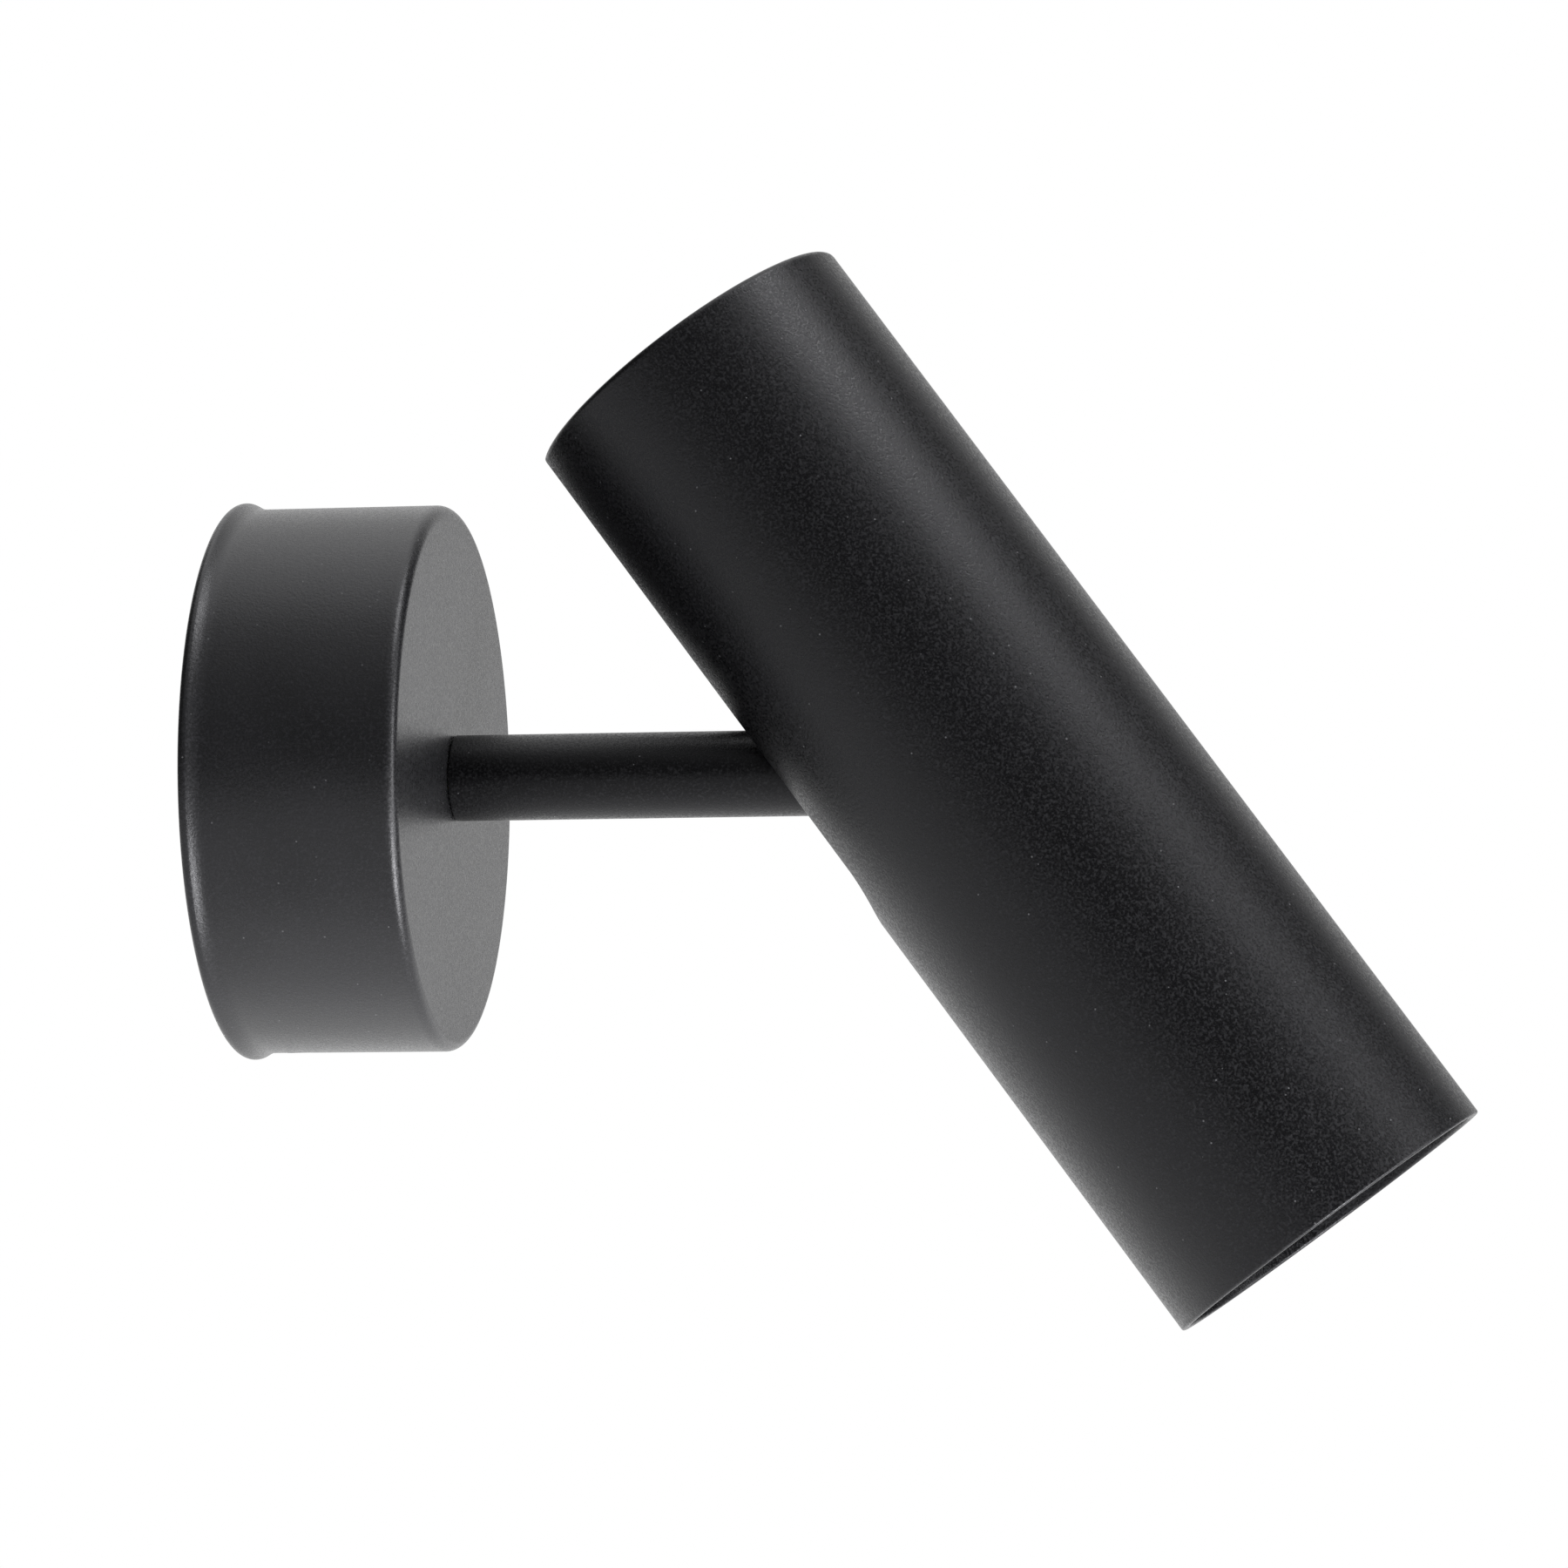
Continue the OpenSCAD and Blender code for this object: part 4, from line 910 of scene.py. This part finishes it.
# the swivel in the canopy: bush and stop stud, and on the spigot the washers and the nut
bush = {"bore": 5.05, "radius": 6.15, "flangeR": 10, "start": 33.4, "flangeEnd": 34.6, "end": 35.8}
build("swivelBush", spun([
    (bush["bore"], bush["start"], 0.15), (bush["flangeR"], bush["start"], 0.3),
    (bush["flangeR"], bush["flangeEnd"], 0.3), (bush["radius"], bush["flangeEnd"]),
    (bush["radius"], bush["end"], 0.15), (bush["bore"], bush["end"], 0.15),
]), "wall_base", "white_nylon", "swivel_bush")
stud = {"radius": 1.2, "start": 31.75, "end": 34.6, "at": -12}
build("stopStud", spun([(0, stud["start"]), (stud["radius"], stud["start"], 0.25),
                        (stud["radius"], stud["end"]), (0, stud["end"])], 40, False),
      "wall_base", "zinc_steel", "stop_stud", at=(0, stud["at"], 0))

spigot = {"radius": 5, "bore": 3.1, "end": 24.25, "nutAt": 25.05, "flatWasherAt": 29.55, "threadEnd": 30.55,
          "stopStart": 31.75, "stopEnd": 33.25, "root": 35.95, "plugR": 5.95, "plugEnd": 49.95, "flat": 4,
          "pitch": 1.0}
spigotR, bore, end, plugR, plugEnd = [spigot[name] for name in ("radius", "bore", "end", "plugR", "plugEnd")]
threadEnd, keyStart, keyEnd = [spigot[name] for name in ("threadEnd", "stopStart", "stopEnd")]
spigotRings = circleRings((bore, plugEnd - 0.2), (bore, end + 0.3), (bore + 0.3, end), (spigotR - 0.4, end))
spigotRings += threadRings(spigotR, end + 0.4, threadEnd, spigot["pitch"])
spigotRings += circleRings((spigotR, keyStart), (spigotR, keyEnd))
spigotRings = [[(min(x, spigot["flat"]), y, z) for x, y, z in ring] for ring in spigotRings]
spigotRings += circleRings((spigotR, keyEnd + 0.02), (spigotR, spigot["root"]), (plugR, spigot["root"]),
                           (plugR, plugEnd - 0.3), (plugR - 0.3, plugEnd), (bore + 0.2, plugEnd))
build("swivelSpigot", ringMesh(spigotRings, loop=True), "arm", "zinc_steel", "swivel_spigot")

stop = {"radius": 9.5, "thick": 1.5, "tabHalf": 1.5, "reach": 13.2, "bore": 5.05, "flat": 4.05}
tabMeets = degrees(asin(stop["tabHalf"] / stop["radius"]))
flatMeets = degrees(acos(stop["flat"] / stop["bore"]))
tabCorners = [(stop["reach"] - back, stop["tabHalf"] - inwards)
              for back, inwards in ((0, 0.5), (0.15, 0.15), (0.5, 0))]
stopLoop = arc(0, 0, stop["radius"], tabMeets, 360 - tabMeets, 72)
stopLoop += [(x, -y) for x, y in reversed(tabCorners)] + tabCorners
stopHole = arc(0, 0, stop["bore"], flatMeets, 360 - flatMeets, 48)
build("stopWasher", plateMesh(stopLoop, [stopHole], stop["thick"]), "arm", "zinc_steel", "stop_washer",
      at=(0, 0, keyStart))
washer = {"bore": 5.2, "radius": 9, "thick": 1, "dish": 0.6}
washerBore, washerR, dish = washer["bore"], washer["radius"], washer["dish"]
build("dishedWasher", spun([(washerBore, dish), (washerR, 0), (washerR, dish), (washerBore, 2 * dish)]),
      "arm", "zinc_steel", "dished_washer", at=(0, 0, threadEnd))
build("flatWasher", spun(ringCorners(washerBore, washerR, 0, washer["thick"], 0.15, 0.25)), "arm",
      "zinc_steel", "flat_washer", at=(0, 0, spigot["flatWasherAt"]))
swivelNut = {"acrossFlats": 14, "bore": 5.05, "high": 4.5}
build("swivelNut", nutMesh(swivelNut), "arm", "brass_parts", "swivel_nut", at=(0, 0, spigot["nutAt"]))
sheath = {"bore": 2.05, "radius": 2.4, "start": 17.25, "end": 55.95}
sheathCorners = ringCorners(sheath["bore"], sheath["radius"], sheath["start"], sheath["end"], 0.1, 0.15)
build("leadSheath", spun(sheathCorners, 48), "arm", "white_nylon", "lead_sheath")
armRoute = [(pairX, 0, 18.4), (pairX, 0, 56.95), (4.55, 0, 100.6), (4.55, 0, 116.7), (13.45, 0, 119.7),
            (13.45, 0, 126.6), (15.85, 0, 126.6)]
build("armLeads", bothSides(leadMesh(armRoute, 2.2)), "arm", "lead_insulation", "arm_leads")
print("swivel made")


# the knuckle that closes the arm: plug, shoulder and tongue, with a groove on each side for the leads
knuckle = {"plugR": 5.95, "plugStart": 102.6, "start": 114.6, "shoulder": 1.5, "thick": 6, "half": 6.5,
           "bore": 2.55, "grooveX": 3.3, "grooveHalf": 1.2, "grooveDeep": 4.4}
start, shoulder = knuckle["start"], knuckle["start"] + knuckle["shoulder"]
armKnuckle = newPiece("armKnuckle", spun([
    (0, knuckle["plugStart"]), (knuckle["plugR"], knuckle["plugStart"], 0.4), (knuckle["plugR"], start),
    (arm["radius"], start), (arm["radius"], shoulder, 0.5), (0, shoulder),
], closed=False), wallPlace, coats["arm"])
tongueLoop = [(-knuckle["half"], start + 0.4), (knuckle["half"], start + 0.4)]
tongueLoop += arc(0, fixture["pivotOut"], knuckle["half"], 0, 180, 32)
tonguePart = plateMesh(tongueLoop, [circleLoop(0, fixture["pivotOut"], knuckle["bore"])],
                       knuckle["thick"], 0.7, 4)
grooves = []
for side in (-1, 1):
    outline = roundedBox(knuckle["grooveDeep"], 2 * knuckle["grooveHalf"], 0.6,
                         side * (knuckle["grooveX"] + knuckle["grooveDeep"] / 2))
    grooves.append(newPiece("groove", plateMesh(outline, [], 20, 0.01), turnedTo(wallPlace, (0, 0, 100))))
carve(armKnuckle, [newPiece("tongue", upright(tonguePart, -knuckle["thick"] / 2), wallPlace)], "UNION")
carve(armKnuckle, grooves)
fit(armKnuckle, "arm", "arm_knuckle")
print("knuckle made")


# the tilt joint in the head, on the pivot frame
tilt = {"bore": 2.55, "frictionX": 3.15, "frictionR": 6, "friction": 0.8, "cheekX": 3.95, "cheek": 2,
        "half": 6.5, "drop": 11, "base": 3, "baseLong": 27, "screwX": 10, "screwHole": 1.55, "boltX": 5.95,
        "springX": -7.05, "springR": 4, "spring": 1.1, "nutX": -11.05}
frictionCorners = ringCorners(tilt["bore"], tilt["frictionR"], 0, tilt["friction"], 0.1, 0.15)
frictionPart = turnedAbout(spun(frictionCorners, 64, steps=3), 90, "Y")
build("frictionWashers", bothSides(shifted(frictionPart, tilt["frictionX"], 0, 0)), "head", "white_nylon",
      "friction_washers")
cheekLoop = [(tilt["half"], tilt["drop"] + 0.6), (-tilt["half"], tilt["drop"] + 0.6)]
cheekLoop += arc(0, 0, tilt["half"], 180, 360, 32)
cheekPart = plateMesh(cheekLoop, [circleLoop(0, 0, tilt["bore"])], tilt["cheek"], 0.35, 4)
cheekPart = upright(cheekPart, tilt["cheekX"])
yokeHoles = [circleLoop(side * tilt["screwX"], 0, tilt["screwHole"], 32) for side in (-1, 1)]
yokeBase = plateMesh(roundedBox(tilt["baseLong"], 2 * tilt["half"], 2), yokeHoles, tilt["base"], 0.35)
tiltYoke = newPiece("tiltYoke", yokeBase, turnedTo(pivotPlace, (0, 0, tilt["drop"])), looks["zinc_steel"])
for cheek in (cheekPart, mirroredX(cheekPart)):
    carve(tiltYoke, [newPiece("cheek", cheek, pivotPlace, looks["zinc_steel"])], "UNION")
fit(tiltYoke, "head", "tilt_yoke")
yokeScrew = {"d": 3, "len": 4.5, "headD": 5.4, "headH": 1.8, "drive": 2, "pitch": 0.5}
build("yokeScrews", twice(screwMesh(yokeScrew), tilt["screwX"], 0, tilt["drop"]), "head", "zinc_steel",
      "yoke_screws")
pivotBolt = {"d": 5, "len": 17.5, "headD": 8.5, "headH": 2.8, "drive": 3, "pitch": 0.8, "plain": 11.5}
build("pivotBolt", shifted(turnedAbout(screwMesh(pivotBolt), -90, "Y"), tilt["boltX"], 0, 0), "head",
      "zinc_steel", "pivot_bolt")
pivotNut = nutMesh({"acrossFlats": 8, "bore": tilt["bore"], "high": 4})
build("pivotNut", shifted(turnedAbout(pivotNut, 90, "Y"), tilt["nutX"], 0, 0), "head", "zinc_steel",
      "pivot_nut")
springCorners = ringCorners(tilt["bore"], tilt["springR"], 0, tilt["spring"], 0.12, 0.12)
springSection = softCorners(springCorners, True, 3, 0.05)
springRings = [[(r * cos(a), r * sin(a), z) for r, z in springSection]
               for a in [radians(4 + 352 * k / 60) for k in range(61)]]
springPart = shifted(turnedAbout(ringMesh(springRings), 90, "Y"), tilt["springX"], 0, 0)
build("pivotSpringWasher", springPart, "head", "zinc_steel", "pivot_spring_washer")
print("tilt joint made")


# carrier: a pressed disc with a flange, vents, and holes for screws and grommets
carrier = {"at": 14, "sheet": 1.5, "radius": 28.45, "flange": 9, "weld": 25.6, "ventR": 22.5, "ventHalf": 1.5,
           "ventDeg": 13, "vents": (45, 90, 135, 225, 270, 315), "leadX": 18.6, "grommet": 3.2, "screwX": 10,
           "screwY": 10.2, "screwHole": 1.55}


# a curved slot, its ends half circles
def ventLoop(at):
    radius, half = carrier["ventR"], carrier["ventHalf"]
    low, high = at - carrier["ventDeg"], at + carrier["ventDeg"]
    ends = [(radius * cos(radians(a)), radius * sin(radians(a))) for a in (low, high)]
    return (arc(0, 0, radius + half, low, high, 12) + arc(*ends[1], half, high, high + 180, 8)[1:-1]
            + arc(0, 0, radius - half, high, low, 12) + arc(*ends[0], half, low + 180, low + 360, 8)[1:-1])


# each pair of round holes: its way in x and y, its distance, its radius and its sides
holePairs = [(1, 0, "leadX", "grommet", 40), (1, 0, "screwX", "screwHole", 24),
             (0, 1, "screwY", "screwHole", 24)]
carrierHoles = [ventLoop(at) for at in carrier["vents"]]
carrierHoles += [circleLoop(side * x * carrier[away], side * y * carrier[away], carrier[size], sides)
                 for x, y, away, size, sides in holePairs for side in (-1, 1)]
carrierFace = plateMesh(circleLoop(0, 0, carrier["weld"], 128), carrierHoles, carrier["sheet"], 0.2,
                        openOutline=True)
outerR, weld, flange = carrier["radius"], carrier["weld"], carrier["flange"]
innerR = outerR - carrier["sheet"]
flangePart = spun([(weld, 0), (outerR, 0, 2.7), (outerR, flange, 0.2), (innerR, flange, 0.2),
                   (innerR, carrier["sheet"], 1.2), (weld, carrier["sheet"])], 128, False, 6)
build("carrierDisc", together(carrierFace, flangePart), "head", "zinc_steel", "carrier_disc",
      at=(0, 0, carrier["at"]))
grommetPart = spun([(1.0, 0, 0.3), (4.2, 0, 0.4), (4.2, 1, 0.3), (3.15, 1), (3.15, 2.5), (4.2, 2.5, 0.3),
                    (4.2, 3.5, 0.4), (1.0, 3.5, 0.3)], 48, True, 4, 0.05)
build("leadGrommets", bothSides(shifted(grommetPart, carrier["leadX"], 0, 13)), "head", "black_rubber",
      "lead_grommets")
headRoute = [(16.15, 0, 0), (18.6, 0, 0), (18.6, 0, 22), (11, 0, 22)]
build("headLeads", bothSides(leadMesh(headRoute, 2.2)), "head", "lead_insulation", "head_leads")
holderScrew = {"d": 3, "len": 7.5, "headD": 5.4, "headH": 1.8, "drive": 2, "pitch": 0.5}
holderPair = twice(screwMesh(holderScrew), 0, carrier["screwY"], carrier["at"])
build("holderScrews", holderPair, "head", "zinc_steel", "holder_screws")
print("carrier made")


# reflector lamp: its shell with a faceted bowl, lens, pins and light source
lamp = {"at": 35.65, "baseR": 13, "baseLong": 7, "radius": 25, "long": 50, "rim": 7, "wall": 1.6, "lens": 2,
        "floor": 19.6, "rows": 7, "facets": 48, "facetDeep": 0.22, "pinX": 5, "lensR": 23.35,
        "sourceR": 8.5, "source": 0.9, "chipR": 6.5, "chip": 1.4}
lampR, baseR, long, floorZ = lamp["radius"], lamp["baseR"], lamp["long"], lamp["floor"]
bowlLong = long - lamp["baseLong"] - lamp["rim"]
seatR, seat = lampR - lamp["wall"], long - lamp["lens"]  # the seat of the lens
sides = lamp["facets"] * 2


def bowlR(share):
    return baseR + (lampR - baseR) * share ** 0.62


shell = [(0, 0), (baseR - 0.8, 0), (baseR - 0.2, 0.2), (baseR, 0.8), (baseR, lamp["baseLong"] - 0.1)]
shell += [(bowlR(k / 28), lamp["baseLong"] + bowlLong * k / 28) for k in range(1, 29)]
shell += [(lampR, long - lamp["rim"] + 0.2), (lampR, long - 0.5), (lampR - 0.15, long - 0.15),
          (lampR - 0.5, long), (seatR + 0.3, long), (seatR, long - 0.3), (seatR, seat)]
mouthR, floorR = seatR - 0.8, bowlR((floorZ - lamp["baseLong"]) / bowlLong) - lamp["wall"]
bowlRings = [circleRing(seatR, seat, sides)]
for up in [1 - row / lamp["rows"] for row in range(lamp["rows"] + 1)]:
    radius = floorR + (mouthR - floorR) * up ** 0.6
    radii = [radius - (lamp["facetDeep"] if k % 2 else 0) for k in range(sides)]
    bowlRings.append([(r * cos(tau * k / sides), r * sin(tau * k / sides), floorZ + (seat - floorZ) * up)
                      for k, r in enumerate(radii)])
bowlVerts, bowlFaces = ringMesh(bowlRings)
bowlFaces.pop(-2)  # the bowl is open where the shell goes on
build("lampBody", together(latheMesh(shell, sides), (bowlVerts, bowlFaces)), "head", "lamp_shell",
      "lamp_body", at=(0, 0, lamp["at"]), sharpDeg=4)
lensR, lens = lamp["lensR"], lamp["lens"]
build("lampLens", spun([(0, 0), (lensR, 0, 0.15), (lensR, lens, 0.6), (0, lens)], closed=False), "head",
      "lens_glass", "lamp_lens", at=(0, 0, lamp["at"] + seat))
sourceR, source, chipR, chip = [lamp[name] for name in ("sourceR", "source", "chipR", "chip")]
build("lightSource", spun([(0, 0), (sourceR, 0), (sourceR, source, 0.2), (chipR + 0.4, source),
                           (chipR, source + 0.05), (chipR - 1.5, chip), (0, chip + 0.2)], closed=False),
      "head", "white_ceramic", at=(0, 0, lamp["at"] + floorZ + 0.02))
pin = {"headR": 2.5, "head": 2.6, "radius": 1.5, "long": 9.4, "proud": 7}
pinPart = spun([(0, 0), (pin["headR"], 0, 0.25), (pin["headR"], pin["head"], 0.6),
                (pin["radius"], pin["head"], 0.1), (pin["radius"], pin["long"]), (0, pin["long"])], 40, False)
build("lampPins", bothSides(shifted(pinPart, lamp["pinX"], 0, lamp["at"] - pin["proud"])), "head",
      "zinc_steel", "lamp_pins")
print("lamp made")


# every CAD node that still shows takes its slot's finish
slotOf = {part["node"]: part["material_slot"] for part in frame["record"]["subparts"]}
shown = [node for node, thing in frame["nodes"].items() if not thing.hide_render]
for node in shown:
    mesh = frame["nodes"][node].data
    mesh.materials.clear()
    mesh.materials.append(looks[slotOf[node]])
print("CAD nodes dressed:", len(shown))


# the floor is far below, as under a wall light
floorSet = {"drop": 0.5, "half": 4.0, "tone": (0.88, 0.88, 0.88), "mottle": (0.8, 0.8, 0.8),
            "seenShare": 0.72, "glow": 1.26, "glossAside": 0.78, "glossFront": 0.2, "glossAll": 0.08}
floorMesh = bpy.data.meshes.new("floor")
h = floorSet["half"]
floorMesh.from_pydata([(-h, -h, 0), (h, -h, 0), (h, h, 0), (-h, h, 0)], [], [[0, 1, 2, 3]])
floor = bpy.data.objects.new("floor", floorMesh)
floor.location = (0, 0, -floorSet["drop"])
bpy.context.scene.collection.objects.link(floor)
look = newLook("paleFloor")
seen, mirrored = look.ray("Camera"), look.mirrored()
mottle = look.noise(look.place(), 60, detail=3)
paint = look.node("ShaderNodeBsdfDiffuse", None,
                  {"Color": look.blend(mottle * 0.1, floorSet["tone"], floorSet["mottle"])})
spot = look.node("ShaderNodeNewGeometry", out="Position")
outward = look.node("ShaderNodeVectorMath", {"operation": "NORMALIZE"}, {0: spot})
nearer = look.along(outward, towards)
dim = floorSet["glossAll"] + (1 - floorSet["glossAside"]) * look.step(nearer, -0.5, 0.0)
dim = dim + floorSet["glossFront"] * nearer.maths("MAXIMUM", 0.0)
glowTone = look.blend(dim * mirrored, (1, 1, 1), (0, 0, 0))
glow = look.node("ShaderNodeEmission", None, {"Color": glowTone, "Strength": floorSet["glow"]})
share = floorSet["seenShare"] * seen + mirrored * (1 - seen)
topSide = look.node("ShaderNodeMixShader", None, {0: share, 1: paint, 2: glow})
under = look.node("ShaderNodeNewGeometry", out="Backfacing")  # from below the floor is clear
clear = look.node("ShaderNodeBsdfTransparent")
paleFloor = look.node("ShaderNodeMixShader", None, {0: under, 1: topSide, 2: clear})
floorMesh.materials.append(look.finishWith(paleFloor))

# the world is white wherever it is seen; the room behind the camera and beside it is darker
worldSet = {"light": 0.45, "roomDark": 0.96, "leftDark": 0.9, "rightDark": 0.25, "behindDark": 0.8,
            "besideDark": 0.15}
world = bpy.data.worlds.new("studio")
bpy.context.scene.world = world
look = Look(world)
direction = look.node("ShaderNodeTexCoord", out="Generated")
facing, aside = look.along(direction, towards), look.along(direction, right)
front = 1 - worldSet["roomDark"] * facing.maths("MAXIMUM", 0.0)
leftWall = worldSet["leftDark"] * look.step(aside, -0.12, -0.6)
rightWall = worldSet["rightDark"] * look.step(aside, 0.3, 0.8)
behindWall = worldSet["behindDark"] * look.step(aside, 0.3, 0.6) * look.step(facing, 0.02, -0.15)
walls = 1 - (leftWall + rightWall.maths("MAXIMUM", behindWall)) * look.step(facing, -0.85, -0.55)
room = front.maths("MINIMUM", walls) * (1 - worldSet["besideDark"] * look.step(aside, 0.1, 0.3))
seen = look.ray("Camera")
level = worldSet["light"] + (1 - worldSet["light"]) * look.mirrored()
background = look.node("ShaderNodeBackground", None,
                       {"Color": (1, 1, 1, 1), "Strength": seen + (1 - seen) * level * room})
look.finishWith(background, "ShaderNodeOutputWorld")

# soft boxes: where each stands in metres, what it aims at, its size and its power in watts
softBoxes = {
    "keyBox": ((-0.17, -0.54, 0.78), (0, -0.11, 0), (0.35, 0.35), 2.1),
    "stripBox": ((-0.2, -1.2, 0.02), (0, -0.1, 0), (0.24, 0.85), 3.9),
    "topBox": ((0.06, 0.07, 1.2), (0, -0.05, 0), (1.0, 1.0), 1.45),
    "lowBox": ((0.0, -0.02, -0.46), (0, -0.02, 0), (0.55, 0.55), 0.3),
    "edgeBox": ((-0.29, -0.52, -0.37), (0, -0.02, 0), (0.25, 0.36), 4.2),
}
for name, (at, aim, size, power) in softBoxes.items():
    data = bpy.data.lights.new(name, "AREA")
    data.shape = "RECTANGLE"
    data.size, data.size_y = size
    data.energy = power
    softBox = bpy.data.objects.new(name, data)
    softBox.location = at
    softBox.rotation_euler = (Vector(at) - Vector(aim)).to_track_quat("Z", "Y").to_euler()
    softBox.visible_camera = False
    bpy.context.scene.collection.objects.link(softBox)
bpy.context.scene.view_settings.view_transform = "Standard"
print("stage and lights set")
